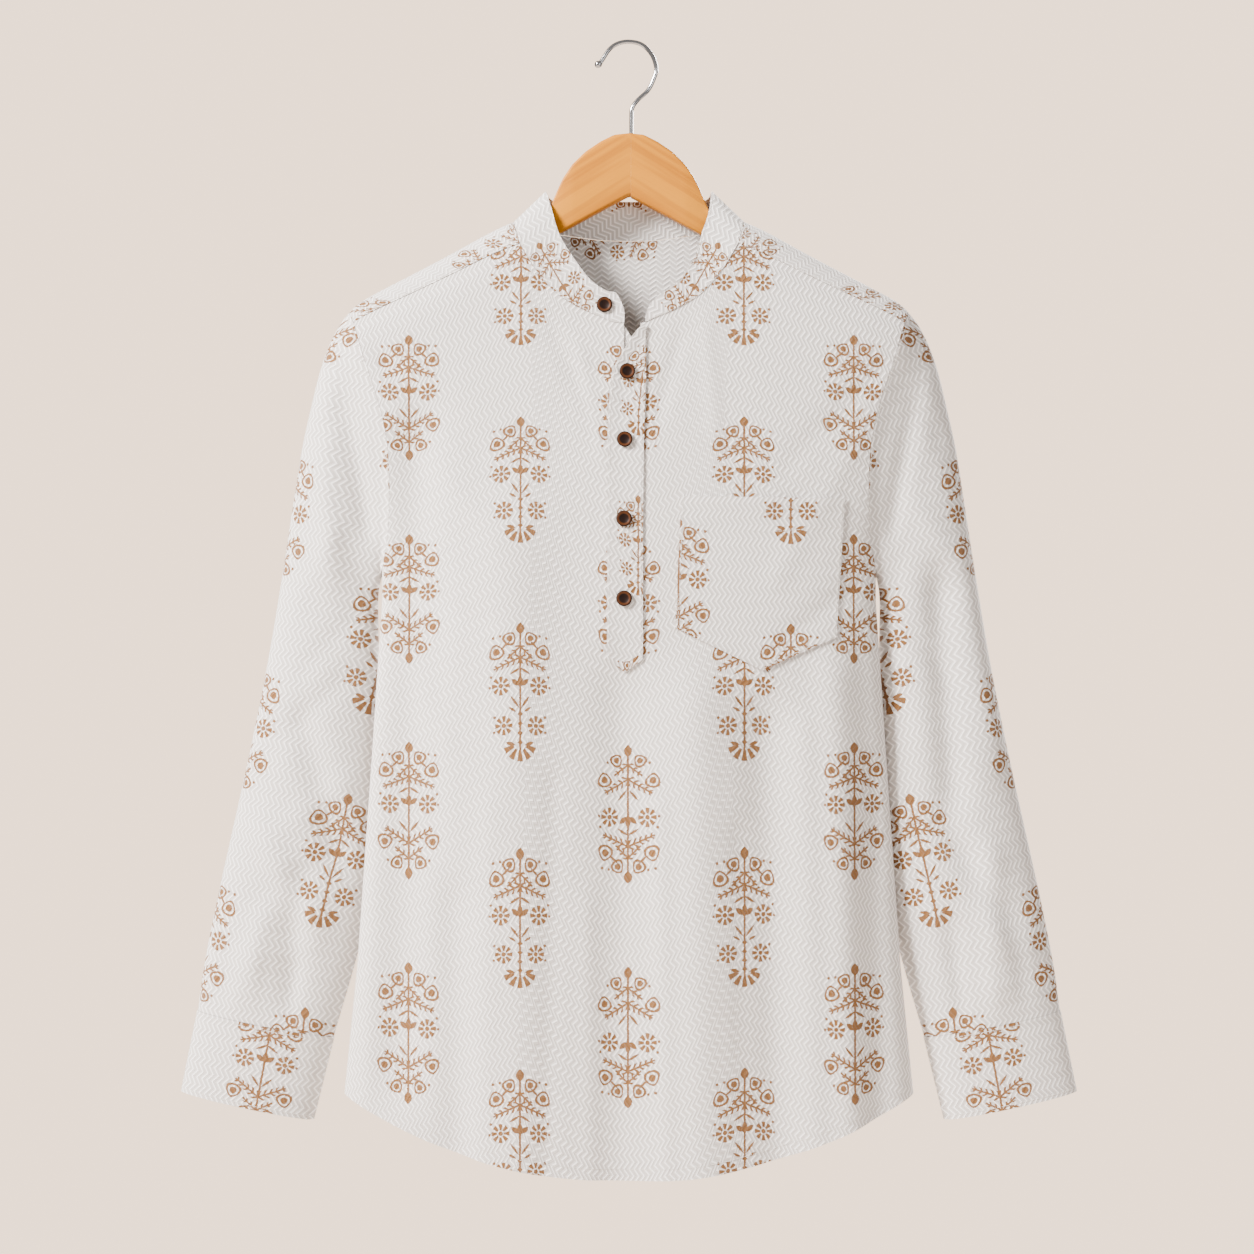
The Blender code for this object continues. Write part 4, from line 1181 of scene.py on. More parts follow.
def frond(x, y, at_y, degrees, length, reach=4.0):
    """A leafy twig from the stem."""
    along, across = turned(x, y, 0.0, at_y, degrees)
    across = abs(across)
    slanted = along - across * 0.9
    leaves = across.times_add(0.1, 0.62) - slanted.to_and_fro(FROND_PITCH / 2)
    taper = along.times_add(-reach * 0.5 / length, reach) - across
    return leaves.least(taper).most(TWIG - across).least((length - along).least(along))


def stem(x, y, low, high):
    return (STEM - x).least((high - y).least(y - low))


def beads(x, y):
    """A string of diamonds down the stem."""
    each = abs(x) + abs((y - BEADS_Y).math("WRAP", BEAD_PITCH, -BEAD_PITCH))
    return (2.1 - each).least(14.5 - abs(y + 27.0))


def fan(x, y):
    """A fan of petals that closes the motif at its foot."""
    up = y - FAN_Y
    away = reach_of(x, up)
    rays = (x.math("ARCTAN2", -up) * FAN_PETALS).cosine().times_add(0.17, 0.05) * away
    return (away - 5.6).least(13.2 - away).least(rays).least(-up - 2.0)


def drawn(x, y, shapes):
    """All shapes of a list together, each a function and its sizes."""
    return functools.reduce(Value.most, (shape(x, y, *sizes) for shape, *sizes in shapes))


# The motif's upper half: each shape's function, then its place, turn and sizes
UPPER_HALF = (
    (leaf, 0, 48.5, 90, 4.6, 3.2),
    (drop, 8.4, 41.0, 125, 4.5),
    (drop, 19.0, 31.0, 75, 5.2),
    (leaf, 11.8, 35.6, -42, 4.4, 0.7),
    (disc, 16.0, 43.0, 0.85),
    (disc, 21.5, 42.0, 0.95),
    (frond, 34.5, -42, 13.5, 3.0),
    (frond, 26.0, -22, 22.5),
    (leaf, 4.2, 15.5, -30, 4.6, 0.8),
    (daisy, 15.4, 4.6, 7.0),
    (leaf, 3.8, 6.8, 38, 3.8, 1.8),
    (leaf, 0, 7.5, 90, 5.0, 2.0),
    (disc, 23.2, 12.0, 0.9),
    (disc, 24.2, 4.0, 0.8),
)
# The lower half in the even columns
LOWER_LEAFY = (
    (frond, -24.5, 30, 22.0),
    (frond, -35.5, 36, 14.0, 3.2),
    (leaf, 4.6, -12.0, 48, 5.0, 0.8),
    (drop, 19.6, -23.5, -80, 5.0),
    (drop, 9.4, -39.0, -130, 4.3),
    (leaf, 0, -46.5, 90, 4.6, 3.0),
    (disc, 17.0, -37.0, 0.9),
)
# The lower half in the odd columns
LOWER_FLOWERS = (
    (leaf, 4.4, -7.5, 52, 5.0, 0.8),
    (leaf, 6.2, -13.0, 30, 3.0, 0.8),
    (daisy, 13.0, -24.5, 6.8),
    (beads,),
    (fan,),
    (leaf, 7.6, -37.6, 16, 3.6, 1.2),
    (disc, 20.5, -18.0, 0.9),
    (disc, 20.8, -29.0, 0.8),
)


def print_mask(look, rough):
    """1 where the block print lies, with rough edges."""
    across, down, _ = look.attribute("print")
    column = across.nearest()
    odd = column.to_and_fro(1.0).nearest()
    x = abs(across - column) * COLUMN_PITCH
    phase = odd.times_add(0.5, down)
    y = (phase.nearest() - phase) * REPEAT
    middle = 1.0 - abs(column).least(1.0)
    y = y * middle.times_add(-2.0, 1.0)
    leafy, flowers = drawn(x, y, LOWER_LEAFY), drawn(x, y, LOWER_FLOWERS)
    lower = look.node("ShaderNodeMix", None, {0: odd, 2: leafy, 3: flowers})
    shapes = drawn(x, y, UPPER_HALF).most(lower).most(stem(x, y, *STEM_ENDS))
    return (shapes + rough.times_add(1.1, -0.5)).step_up(-0.5, 0.05)


def zigzag(x, y):
    """The raised zigzag threads and the narrow grooves between them, both from 0 to 1; the grooves get
    painted shade.
    """
    swing = y.to_and_fro(ZIGZAG_DOWN) * ZIGZAG_SLOPE
    line = (x + swing).to_and_fro(ZIGZAG_ACROSS)
    return line.step_up(0.85, 0.35), line.step_up(1.4, 1.85)


@functools.cache
def cloth_look():
    """The soft white cotton with its raised weave and its print. Shade is painted into the weave: its ground
    and its grooves are coloured darker.
    """
    colours = bpy.context.scene.kurta_colours
    look = Look(bpy.data.materials.new("cotton"))
    x, y, _ = look.attribute("cloth")
    raised, fine = zigzag(x, y)
    slub = look.noise(look.joined(x, y), 0.9, 1.0)
    # Painted shade: the ground between the raised threads is coloured darker, as if in the shade of the
    # threads
    ground = look.mix(raised * 0.85, colours.ground, colours.cloth)
    # Painted shade: the narrow grooves between the threads are coloured darker still
    ground = look.mix(fine * 0.5, ground, colours.shadow)
    ink = look.mix(slub, colours.ink_dark, colours.ink)
    strength = slub.step_up(0.1, 0.42).times_add(0.2, 0.78)
    mask = print_mask(look, slub) * strength
    height = raised + fine * -0.3 + slub * 0.5
    return look.set(
        Base_Color=look.mix(mask, ground, ink),
        Roughness=0.92,
        Normal=look.bump(height, 0.0005, 0.9),
        Sheen_Weight=0.15,
    ).holder


def plain_look(name, colour, roughness, metallic=0.0):
    look = Look(bpy.data.materials.new(name))
    return look.set(Base_Color=colour, Roughness=roughness, Metallic=metallic).holder


@functools.cache
def thread_look():
    return plain_look("thread", bpy.context.scene.kurta_colours.thread, 0.8)


def wood_look(colours):
    """Light wood whose grain runs down each arm from the middle."""
    look = Look(bpy.data.materials.new("hanger wood"))
    x, y, z = look.parts(look.node("ShaderNodeTexCoord", output="Object"))
    side = abs(x)
    out, down = GRAIN_WAY
    along = side * out - z * down
    across = z * out + side * down
    grain = look.noise(look.joined(along * 7.0, across * 190.0, y * 60.0), 1.0, 3.0)
    pores = look.noise(look.joined(along * 26.0, across * 900.0, y * 300.0), 1.0, 1.0)
    broad = look.noise(look.joined(along * 3.0, across * 45.0, y * 15.0), 1.0, 1.0)
    colour = look.mix(grain.step_up(0.35, 0.7), colours.wood, colours.wood_dark)
    colour = look.mix(broad.step_up(0.35, 0.75) * 0.35, colour, colours.wood_light)
    colour = look.mix(pores.step_up(0.62, 0.75) * 0.3, colour, colours.wood_dark)
    return look.set(
        Base_Color=colour,
        Roughness=grain.times_add(0.12, 0.36),
        Specular_IOR_Level=0.15,
        Normal=look.bump(pores, 0.00015, 0.5),
    ).holder


def button_look(colours):
    """Turned dark button: dark rim, reddish ring and near-black dish."""
    look = Look(bpy.data.materials.new("button brown"))
    radius = look.attribute("turned")[0]
    ring = radius.step_up(3.5, 4.1) * (1.0 - radius.step_up(5.2, 5.8))
    grain = look.noise(look.joined(radius * 3.0, radius, 0.0), 1.0, 1.0)
    colour = look.mix(ring, colours.button_dark, colours.button_ring)
    colour = look.mix(grain * 0.3, colour, colours.button_dark)
    return look.set(Base_Color=colour, Roughness=0.45, Specular_IOR_Level=0.08).holder


# Meshes


def numbers(first, second, third=0.0):
    first, second, third = np.broadcast_arrays(first, second, third)
    return np.stack([first, second, third], axis=-1).astype(float)


def arcs(points, start):
    """How far across each row each point lies from the start column."""
    steps = np.linalg.norm(np.diff(points, axis=1), axis=2)
    along = np.concatenate([np.zeros((len(points), 1)), np.cumsum(steps, axis=1)], axis=1)
    return along - along[:, start : start + 1]


def falls(points):
    """How far down its column each point lies."""
    steps = np.linalg.norm(np.diff(points, axis=0), axis=2)
    return np.concatenate([np.zeros((1, points.shape[1])), np.cumsum(steps, axis=0)])


def body_cloth(points):
    middle = int(np.argmin(np.abs(points[0, :, 0])))
    return numbers(arcs(points, middle), falls(points))


def body_print(points):
    """The print's columns and repeats at the points of a body piece."""
    x, depth = points[..., 0], -points[..., 2]
    across = stretched(x, *PRINT_ACROSS)
    odd = (1 - np.cos(np.pi * across)) / 2
    down = stretched(depth, *PRINT_EVEN) * (1 - odd) + stretched(depth, *PRINT_ODD) * odd
    return numbers(across, down)


def sleeve_places(rings, side):
    """How far in from the outer fold and how far down the sleeve each point lies."""
    mirror = np.array([side, 1.0])
    start, way = np.array(SLEEVE_START) * mirror, np.array(SLEEVE_WAY) * mirror
    out = np.array([-SLEEVE_WAY[1], SLEEVE_WAY[0]]) * mirror
    outline = np.vstack([through(SLEEVE_OUTER, "x", "z"), CUFF_OUTER]) * mirror - start
    flat = rings[..., [0, 2]] - start
    down = flat @ way
    inward = np.maximum(np.interp(down, outline @ way, outline @ out) - flat @ out, 0)
    outermost = np.argmax(flat @ out, axis=1)
    behind = rings[..., 1] - rings[np.arange(len(rings)), outermost, 1][:, None]
    return np.hypot(inward, behind), down


@functools.cache
def garment():
    """The points of all sewn pieces and the normals of the whole surface."""
    front = panel(front_columns(), SHOULDER_HALF, front_top, -1)
    back = panel(back_columns(), BACK_SEAM_HALF, lambda x: BACK_SEAM_Z, 1)
    yoke = yoke_points()
    collar = collar_points(front, yoke)
    grids = {"front": front, "back": back, "yoke": yoke, "collar": collar}
    for word, side in SIDES:
        grids[f"sleeve_{word}"], grids[f"cuff_{word}"] = sleeve_rings(
            armhole_loop(front, back, yoke, side), side
        )
    sheets = {name: grid_mesh(points) for name, points in grids.items()}
    normal_at = joined_normals(sheets.values())
    faces = {name: BVHTree.FromBMesh(sheets[name]) for name in ("front", "collar")}
    for sheet in sheets.values():
        sheet.free()
    return grids, normal_at, faces


def lay(x, z, out):
    return laid_on(garment()[2]["front"], x, z, out)


def off_front():
    """How far the middle of a piece lies off the middle of the front panel under it."""
    sizes = bpy.context.scene.kurta_sizes
    return (sizes.wall + sizes.lay_gap) / MM


def over_placket():
    """Points of the over placket, whose free edge stands off the front."""

    def lifted(x, z):
        edge = smoothstep(1 - (x - read(PLACKET_EDGES, "z", "left", z)) / EDGE_WIDTH)
        top = EDGE_LEFT + (1 - EDGE_LEFT) * smoothstep((z - EDGE_TOP[0]) / EDGE_TOP[1])
        return lay(x, z, off_front() + EDGE_LIFT * edge * top)

    return placket_over_points(lifted)


def open_pocket():
    """Points of the pocket, whose mouth stands a little off the front."""
    left, right = POCKET["top_left"], POCKET["top_right"]

    def lifted(x, z):
        way = min(max((x - left[0]) / (right[0] - left[0]), 0.0), 1.0)
        mouth = smoothstep(1 - (left[1] - z) / MOUTH_DEPTH) * math.sin(math.pi * way)
        return lay(x, z, off_front() + MOUTH_LIFT * mouth)

    return pocket_points(lifted)


def add_cloth(node, bm, normal_at=None, extra=0.0):
    """Gives a sheet its thickness, adds it to the scene and puts it in its node's place."""
    wall = bpy.context.scene.kurta_sizes.wall / MM
    bmesh.ops.recalc_face_normals(bm, faces=bm.faces)
    bm.normal_update()
    kept = bm.verts.layers.float_vector.new("outward")
    for vert in bm.verts:
        vert[kept] = normal_at(vert.co) if normal_at else vert.normal
    if normal_at is None and sum(vert.normal.y for vert in bm.verts) > 0:
        for vert in bm.verts:
            vert[kept] = -vert.normal
    place = bm.verts.layers.float_vector["cloth"]
    pull_in_edges(bm, SEAM_GAP / 2)
    grown = bmesh.ops.extrude_face_region(bm, geom=list(bm.faces), use_keep_orig=True)
    outer = {item for item in grown["geom"] if isinstance(item, bmesh.types.BMVert)}
    for vert in bm.verts:
        rise = wall / 2 + extra * vert[place].z
        vert.co += vert[kept] * (rise if vert in outer else -wall / 2)
    bm.verts.layers.float_vector.remove(kept)
    bmesh.ops.recalc_face_normals(bm, faces=bm.faces)
    bmesh.ops.scale(bm, vec=(MM, MM, MM), verts=bm.verts)
    return add_piece(f"{node}_cloth", bm, cloth_look(), node)


def add_piece(name, bm, look, node):
    mesh = bpy.data.meshes.new(name)
    bm.to_mesh(mesh)
    bm.free()
    mesh.shade_smooth()
    mesh.set_sharp_from_angle(angle=math.radians(SHARP_DEGREES))
    obj = bpy.data.objects.new(name, mesh)
    mesh.materials.append(look)
    bpy.context.scene.collection.objects.link(obj)
    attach(obj, "root")
    if node:
        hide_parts(node)
    return obj


def on_grid(points, path):
    """Places on a grid of points along a path of (row, column) numbers."""
    path = np.array(path, float)
    rows = np.clip(path[:, 0], 0, points.shape[0] - GRID_END)
    columns = np.clip(path[:, 1], 0, points.shape[1] - GRID_END)
    row, column = rows.astype(int), columns.astype(int)
    down, across = (rows - row)[:, None], (columns - column)[:, None]
    upper = points[row, column] * (1 - across) + points[row, column + 1] * across
    lower = points[row + 1, column] * (1 - across) + points[row + 1, column + 1] * across
    return upper * (1 - down) + lower * down


def seam_line(points, path, lift, facing):
    """A line on a grid's surface, raised off it. facing is one way, or a way for each point."""
    across = np.gradient(points, axis=1)
    down = np.gradient(points, axis=0)
    normals = np.cross(across, down)
    normals /= np.maximum(np.linalg.norm(normals, axis=2), TINY)[..., None]
    places, ways = on_grid(points, path), on_grid(normals, path)
    towards = on_grid(np.broadcast_to(facing, points.shape), path)
    flip = np.sign(np.sum(ways * towards, axis=1, keepdims=True))
    return places + ways * flip * lift


def add_stitches(name, lines):
    """One row of thread dashes along each line."""
    bm = bmesh.new()
    step = STITCH + STITCH_GAP
    for line in lines:
        total = lengths(line)[-1]
        count = max(int(total / step), 1)
        starts = spaced(line, (np.arange(count) + STITCH_START) / count)
        ends = spaced(line, (np.arange(count) + STITCH_START + STITCH / step) / count)
        for start, end in zip(starts, ends):
            start, end = Vector(start), Vector(end)
            made = bmesh.ops.create_cone(
                bm, segments=STITCH_SIDES, radius1=STITCH_RADIUS, radius2=STITCH_RADIUS,
                depth=(end - start).length, cap_ends=True,
            )["verts"]
            turn = Vector((0, 0, 1)).rotation_difference(end - start).to_matrix()
            bmesh.ops.rotate(bm, verts=made, cent=(0, 0, 0), matrix=turn)
            bmesh.ops.translate(bm, verts=made, vec=(start + end) / 2)
    bmesh.ops.scale(bm, vec=(MM, MM, MM), verts=bm.verts)
    return add_piece(name, bm, thread_look(), None)


def across_grid(row, first, last, count=60):
    """A straight path along a row of a grid."""
    return np.linspace((row, first), (row, last), count)


def double_cloth():
    return bpy.context.scene.kurta_sizes.double / MM


def add_sewn(node, bm, points, stitched, extra=0.0, normal_at=None):
    """A piece of cloth with its rows of stitches, each a path on its grid and the way it faces."""
    piece = add_cloth(node, bm, normal_at, extra)
    lift = bpy.context.scene.kurta_sizes.wall / MM / 2 + extra + STITCH_RADIUS / 2
    lines = [seam_line(points, path, lift, facing) for path, facing in stitched]
    sewn = add_stitches(f"{node.removesuffix('_over')}_stitches", lines)


# Sizes and colours


def length(name, description, default):
    return FloatProperty(name=name, description=description, default=default, min=0.0, unit="LENGTH")


def colour(name, description, default):
    return FloatVectorProperty(
        name=name, description=description, default=default, min=0.0, max=1.0, size=3, subtype="COLOR"
    )


class KurtaSizes(bpy.types.PropertyGroup):
    wall: length("Cloth thickness", "How thick the cotton is", 0.001)
    double: length("Double cloth", "How much more the double pieces stand out", 0.0006)
    lay_gap: length("Lay gap", "How far the pocket and placket lie off the front", 0.0001)


class KurtaColours(bpy.types.PropertyGroup):
    cloth: colour("Cloth", "Raised white threads", (0.92, 0.885, 0.855))
    # Painted shade: the colour of the ground between the raised threads
    ground: colour("Ground", "Cloth between the raised threads", (0.53, 0.49, 0.465))
    # Painted shade: the colour of the narrow grooves between the threads
    shadow: colour("Fine threads", "Fine darker threads", (0.38, 0.34, 0.31))
    ink: colour("Print", "Tan of the block print", (0.17, 0.062, 0.0006))
    ink_dark: colour("Print, dark", "Darker patches of the print", (0.115, 0.038, 0.0004))
    thread: colour("Thread", "Sewing thread", (0.6, 0.56, 0.51))
    wood: colour("Wood", "Hanger wood", (0.45, 0.165, 0.004))
    wood_dark: colour("Wood, dark", "Darker grain", (0.33, 0.108, 0.003))
    wood_light: colour("Wood, light", "Lighter grain", (0.5, 0.205, 0.008))
    button_dark: colour("Button, dark", "Rim and dish of a button", (0.009, 0.004, 0.003))
    button_ring: colour("Button ring", "Reddish ring of a button", (0.06, 0.02, 0.007))
    steel: colour("Steel", "Hook wire", (0.32, 0.32, 0.33))
    floor: colour("Floor", "Floor under the object", (0.7, 0.6, 0.52))
    world: colour("Surround", "Pale surround", (0.98, 0.73, 0.54))
    soft: colour("Soft light", "Even light from all round", (0.58, 0.54, 0.505))


# Operators


class KURTA_OT_body(bpy.types.Operator):
    """Front and back panels with their hems"""

    bl_idname = "kurta.body"
    bl_label = "Body panels"

    def execute(self, context):
        grids, normal_at, _ = garment()
        for word, facing, flat, area in (
            ("front", (0, -1, 0), (0.52, 0.76), 0.3),
            ("back", (0, 1, 0), (0.51, 0.66), 0.277),
        ):
            points = grids[word]
            bm = grid_mesh(points, cloth=body_cloth(points), print=body_print(points))
            if word == "front":
                cut_slit(bm, points)
            rows, columns = points.shape[0] - 1, points.shape[1] - 1
            path = across_grid(rows - HEM_IN, HEM_ENDS_IN, columns - HEM_ENDS_IN, 200)
            add_sewn(
                word, bm, points, [(path, facing)],
                normal_at=normal_at,
            )
        return {"FINISHED"}


class KURTA_OT_yoke(bpy.types.Operator):
    """Shoulder yoke, with a row of stitches along its seams"""

    bl_idname = "kurta.yoke"
    bl_label = "Yoke"

    def execute(self, context):
        grids, normal_at, _ = garment()
        points = grids["yoke"]
        down, across = falls(points), arcs(points, points.shape[1] // 2)
        share = np.minimum(across - across[:, :1], across[:, -1:] - across) / SHARE_WIDTH
        place = numbers(down, across, np.minimum(share, 1.0))
        column = (down[-1:] - down) / COLUMN_PITCH * YOKE_PRINT + YOKE_START[0]
        print_at = numbers(column, across / REPEAT * YOKE_PRINT + YOKE_START[1])
        last, end = points.shape[0] - 1, points.shape[1] - 1
        neck, edge = SHOULDER_COLUMNS, YOKE_ENDS_IN
        stitched = [(across_grid(IN_FROM_EDGE, edge, end - edge, 150), (0, 1, 0))]
        for first, second in ((edge, neck - 1), (end - neck + 1, end - edge)):
            stitched.append((across_grid(last - YOKE_FRONT_IN, first, second), (0, -1, 0.5)))
        add_sewn(
            "yoke", grid_mesh(points, cloth=place, print=print_at), points, stitched,
            double_cloth(), normal_at,
        )
        return {"FINISHED"}


class KURTA_OT_collar(bpy.types.Operator):
    """Band collar with its edge stitching"""

    bl_idname = "kurta.collar"
    bl_label = "Collar"

    def execute(self, context):
        grids, normal_at, _ = garment()
        points = grids["collar"]
        side, up = np.abs(points[..., 0]), points[..., 2]
        run, rise = COLLAR_SLOPE
        along = side * run + up * rise
        across = side * rise - up * run + points[..., 1] * run
        print_at = numbers(
            across / COLUMN_PITCH * COLLAR_PRINT + COLLAR_START[0],
            along / REPEAT * COLLAR_PRINT + COLLAR_START[1],
        )
        bm = grid_mesh(points, cloth=numbers(across, along, 1.0), print=print_at)
        last, end = points.shape[0] - 1, points.shape[1] - 1
        outwards = points * (1, 1, 0) + (0, TINY, 0)
        stitched = [
            (across_grid(row, IN_FROM_EDGE, end - IN_FROM_EDGE, 150), outwards)
            for row in (IN_FROM_EDGE, last - IN_FROM_EDGE)
        ]
        add_sewn(
            "collar", bm, points, stitched,
            double_cloth(), normal_at,
        )
        return {"FINISHED"}


class KURTA_OT_sleeves(bpy.types.Operator):
    """Both long sleeves"""

    bl_idname = "kurta.sleeves"
    bl_label = "Sleeves"

    def execute(self, context):
        grids, normal_at, _ = garment()
        for word, side in SIDES:
            rings = grids[f"sleeve_{word}"]
            inward, down = sleeve_places(rings, side)
            print_at = numbers(
                inward / COLUMN_PITCH + FIRST_COLUMN, (down - SLEEVE_FIRST) / SLEEVE_REPEAT
            )
            bm = grid_mesh(rings, cloth=numbers(inward, down), print=print_at)
            path = across_grid(ARMHOLE_IN, 0, rings.shape[1] - RING_END, 200)
            out = rings - rings.mean(axis=1, keepdims=True)
            add_sewn(
                f"sleeve_{word}", bm, rings, [(path, out)],
                normal_at=normal_at,
            )
        return {"FINISHED"}


class KURTA_OT_cuffs(bpy.types.Operator):
    """Both cuffs, with a row of stitches at each edge"""

    bl_idname = "kurta.cuffs"
    bl_label = "Cuffs"

    def execute(self, context):
        grids, normal_at, _ = garment()
        for word, side in SIDES:
            rings = grids[f"cuff_{word}"]
            inward, down = sleeve_places(rings, side)
            across = (inward - CUFF_MOTIF[0]) / COLUMN_PITCH + FIRST_COLUMN
            print_at = numbers(across, (down - CUFF_MOTIF[1]) / REPEAT)
            bm = grid_mesh(rings, cloth=numbers(inward, down, 1.0), print=print_at)
            out = rings - rings.mean(axis=1, keepdims=True)
            stitched = [
                (across_grid(row, 0, rings.shape[1] - RING_END, 120), out)
                for row in (CUFF_TOP_IN, rings.shape[0] - 1 - IN_FROM_EDGE)
            ]
            add_sewn(
                f"cuff_{word}", bm, rings, stitched,
                double_cloth(), normal_at,
            )
        return {"FINISHED"}


class KURTA_OT_plackets(bpy.types.Operator):
    """Over placket with its point, and the under placket"""

    bl_idname = "kurta.plackets"
    bl_label = "Plackets"

    def execute(self, context):
        def sheet(points, start, share):
            place = numbers(arcs(points, 0), falls(points), share)
            print_at = place[..., :2] / PLACKET_PITCH + start
            return grid_mesh(points, cloth=place, print=numbers(print_at[..., 0], print_at[..., 1]))

        points = over_placket()
        last, end = points.shape[0] - 1, points.shape[1] - 1
        stitched = [
            (np.linspace((PLACKET_TOP_IN, column), (last - PLACKET_LOW_IN, column), 150), (0, -1, 0))
            for column in (PLACKET_IN, end - PLACKET_IN)
        ]
        add_sewn(
            "placket_over", sheet(points, PLACKET_OVER_START, 1.0), points, stitched,
            double_cloth(),
        )
        points = placket_under_points(lambda x, z: lay(x, z, -off_front()))
        piece = add_cloth("placket_under", sheet(points, PLACKET_UNDER_START, 0.0))
        return {"FINISHED"}


class KURTA_OT_pocket(bpy.types.Operator):
    """Chest pocket with its hem and pointed bottom"""

    bl_idname = "kurta.pocket"
    bl_label = "Pocket"

    def execute(self, context):
        points = open_pocket()
        x, depth = points[..., 0], -points[..., 2]
        print_at = numbers(
            (x - POCKET_MOTIF[0]) / POCKET_PITCH[0] + POCKET_COLUMN,
            (depth - POCKET_MOTIF[1]) / POCKET_PITCH[1] + 0.5,
        )
        bm = grid_mesh(points, cloth=numbers(x + POCKET_WEAVE, falls(points), 1.0), print=print_at)
        last, end = points.shape[0] - 1, points.shape[1] - 1
        low, right = last - IN_FROM_EDGE, end - IN_FROM_EDGE
        edge = [
            (POCKET_TOP_IN, IN_FROM_EDGE), (low, IN_FROM_EDGE), (low, end / 2), (low, right),
            (POCKET_TOP_IN, right),
        ]
        round_it = np.concatenate([np.linspace(a, b, 50) for a, b in zip(edge, edge[1:])])
        hem = across_grid(last * POCKET_HEM, IN_FROM_EDGE, right)
        add_sewn(
            "pocket", bm, points, [(path, (0, -1, 0)) for path in (round_it, hem)],
            double_cloth(),
        )
        return {"FINISHED"}


class KURTA_OT_buttons(bpy.types.Operator):
    """Five turned buttons"""

    bl_idname = "kurta.buttons"
    bl_label = "Buttons"

    def execute(self, context):
        look = button_look(context.scene.kurta_colours)
        over = grid_mesh(over_placket() - (0, double_cloth(), 0))
        over_faces = BVHTree.FromBMesh(over)
        over.free()
        collar_faces = garment()[2]["collar"]
        for number, (x, z) in enumerate(zip(BUTTONS["x"], BUTTONS["z"]), start=1):
            place, normal = button_seat(collar_faces if number == 1 else over_faces, x, z)
            bm = button_mesh()
            layer = bm.verts.layers.float_vector.new("turned")
            for vert in bm.verts:
                vert[layer] = (math.hypot(vert.co.x, vert.co.y), 0, 0)
            turn = Vector((0, 0, 1)).rotation_difference(normal).to_matrix()
            bmesh.ops.rotate(bm, verts=bm.verts, cent=(0, 0, 0), matrix=turn)
            bmesh.ops.translate(bm, verts=bm.verts, vec=place)
            bmesh.ops.recalc_face_normals(bm, faces=bm.faces)
            bmesh.ops.scale(bm, vec=(MM, MM, MM), verts=bm.verts)
            add_piece(f"turned_button_{number}", bm, look, f"button_{number}")
        return {"FINISHED"}


class KURTA_OT_hanger(bpy.types.Operator):
    """Both wooden arms"""

    bl_idname = "kurta.hanger"
    bl_label = "Hanger"

    def execute(self, context):
        look = wood_look(context.scene.kurta_colours)
        for word, side in SIDES:
            rings = arm_rings(side)
            add_piece(f"hanger_arm_{word}", swept_mesh(rings), look, f"hanger_{word}")
        return {"FINISHED"}


class KURTA_OT_hook(bpy.types.Operator):
    """The wire hook"""

    bl_idname = "kurta.hook"
    bl_label = "Hook"

    def execute(self, context):
        look = plain_look("polished steel", context.scene.kurta_colours.steel, 0.16, metallic=1.0)
        add_piece("wire_hook", swept_mesh(hook_rings()), look, "hook")
        return {"FINISHED"}


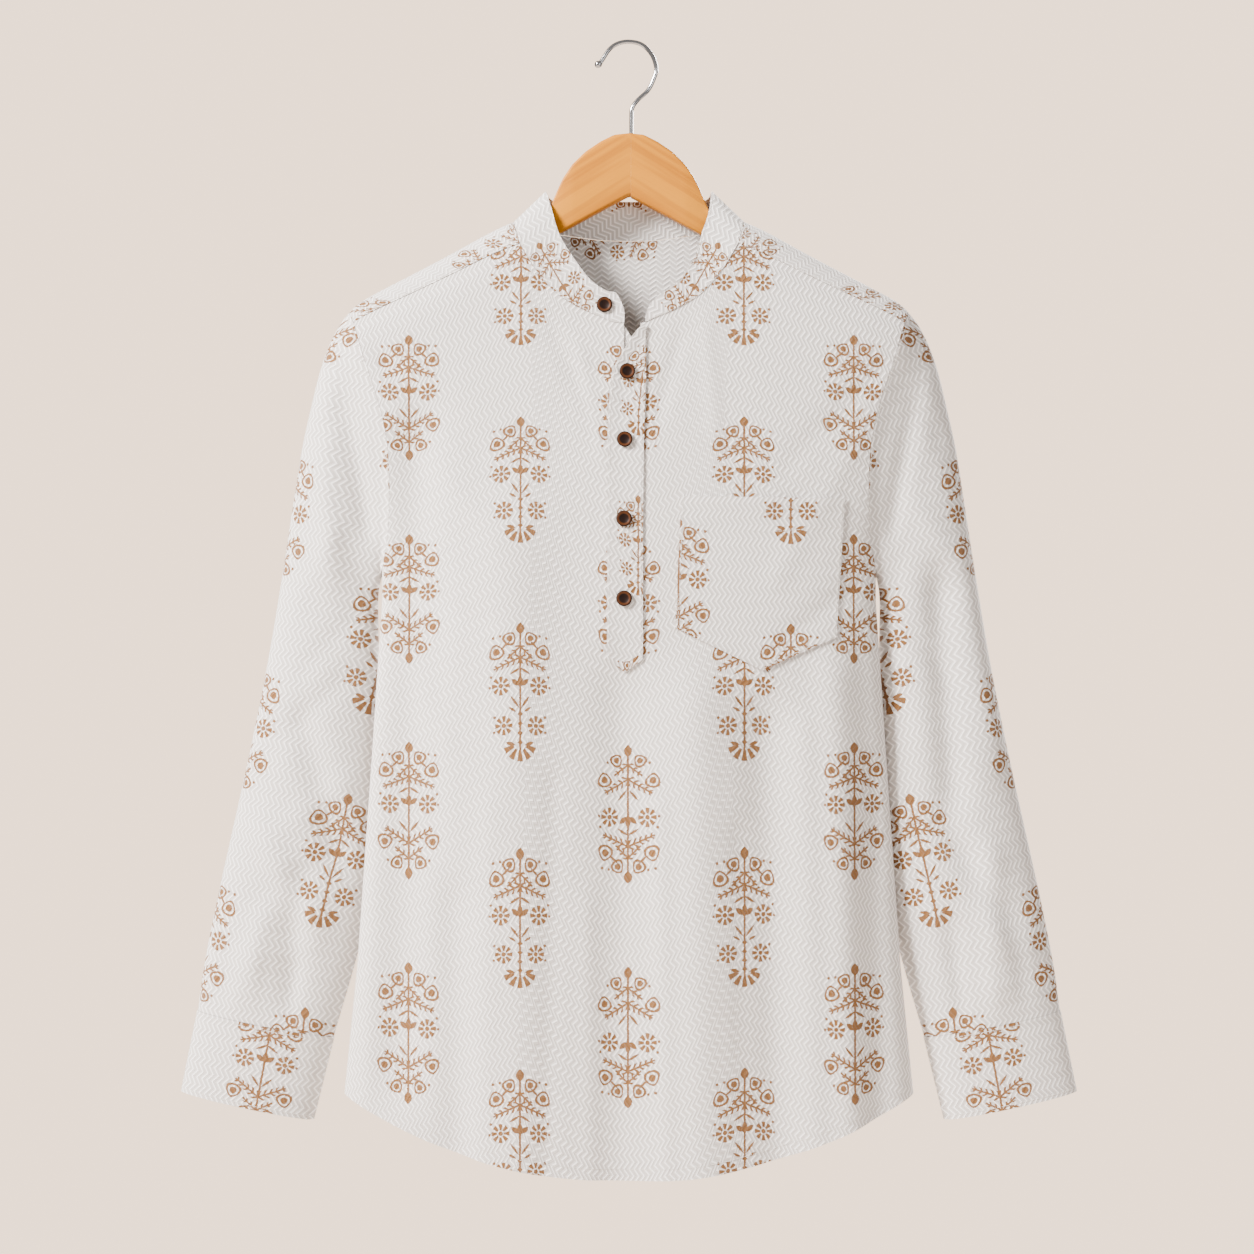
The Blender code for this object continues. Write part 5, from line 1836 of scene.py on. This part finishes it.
class KURTA_OT_stage(bpy.types.Operator):
    """Floor, lights and camera"""

    bl_idname = "kurta.stage"
    bl_label = "Stage"

    def execute(self, context):
        colours = context.scene.kurta_colours
        bm = bmesh.new()
        bmesh.ops.create_circle(bm, cap_ends=True, segments=FLOOR_SIDES, radius=FLOOR_SIZE)
        bmesh.ops.translate(bm, verts=bm.verts, vec=(0, 0, FLOOR_Z))
        mesh = bpy.data.meshes.new("floor")
        bm.to_mesh(mesh)
        bm.free()
        floor = bpy.data.objects.new("floor", mesh)
        mesh.materials.append(plain_look("floor", colours.floor, 0.9))
        stage = [floor]
        for name, place, size, power, tint in LIGHTS:
            light = bpy.data.lights.new(name, "AREA")
            light.size = size
            light.energy = power
            light.color = tint
            lamp = bpy.data.objects.new(name, light)
            lamp.location = place
            aim = Vector(LIGHTS_AIM) - Vector(place)
            lamp.rotation_euler = aim.to_track_quat("-Z", "Y").to_euler()
            stage.append(lamp)
        camera = bpy.data.objects.new("camera", bpy.data.cameras.new("camera"))
        camera.data.lens = CAMERA_LENS
        camera.data.sensor_width = CAMERA_SENSOR
        camera.location = CAMERA_AT
        camera.rotation_euler = (math.pi / 2, 0, 0)
        stage.append(camera)
        for obj in stage:
            context.scene.collection.objects.link(obj)
        context.scene.camera = camera
        world = bpy.data.worlds.new("surround")
        look = Look(world, "Background")
        look.set(Color=colours.world, Strength=WORLD_SHOWN)
        shown = Value(look, look.shader.outputs[0])
        soft = look.node("ShaderNodeBackground", None, {"Color": colours.soft})
        seen = look.node("ShaderNodeLightPath", output="Is Camera Ray")
        mixed = look.node("ShaderNodeMixShader", None, {0: seen, 1: soft, 2: shown})
        look.feed(look.tree.nodes["World Output"].inputs[0], mixed)
        context.scene.world = world
        return {"FINISHED"}


OPERATORS = (
    KURTA_OT_hanger,
    KURTA_OT_hook,
    KURTA_OT_yoke,
    KURTA_OT_body,
    KURTA_OT_collar,
    KURTA_OT_sleeves,
    KURTA_OT_cuffs,
    KURTA_OT_plackets,
    KURTA_OT_pocket,
    KURTA_OT_buttons,
    KURTA_OT_stage,
)


class KURTA_PT_panel(bpy.types.Panel):
    """Lists the steps of the build"""

    bl_idname = "KURTA_PT_panel"
    bl_label = "Kurta tunic"
    bl_space_type = "VIEW_3D"
    bl_region_type = "UI"
    bl_category = "Kurta"

    def draw(self, context):
        for group in (context.scene.kurta_sizes, context.scene.kurta_colours):
            for name in group.bl_rna.properties.keys():
                if name not in ("rna_type", "name"):
                    self.layout.prop(group, name)
        for operator in OPERATORS:
            self.layout.operator(operator.bl_idname)


CLASSES = (KurtaSizes, KurtaColours, *OPERATORS, KURTA_PT_panel)


def register():
    for item in CLASSES:
        bpy.utils.register_class(item)
    bpy.types.Scene.kurta_sizes = PointerProperty(type=KurtaSizes)
    bpy.types.Scene.kurta_colours = PointerProperty(type=KurtaColours)


def unregister():
    del bpy.types.Scene.kurta_colours
    del bpy.types.Scene.kurta_sizes
    for item in reversed(CLASSES):
        bpy.utils.unregister_class(item)


def main():
    register()
    for operator in OPERATORS:
        group, name = operator.bl_idname.split(".")
        getattr(getattr(bpy.ops, group), name)()


if __name__ == "__main__":
    main()
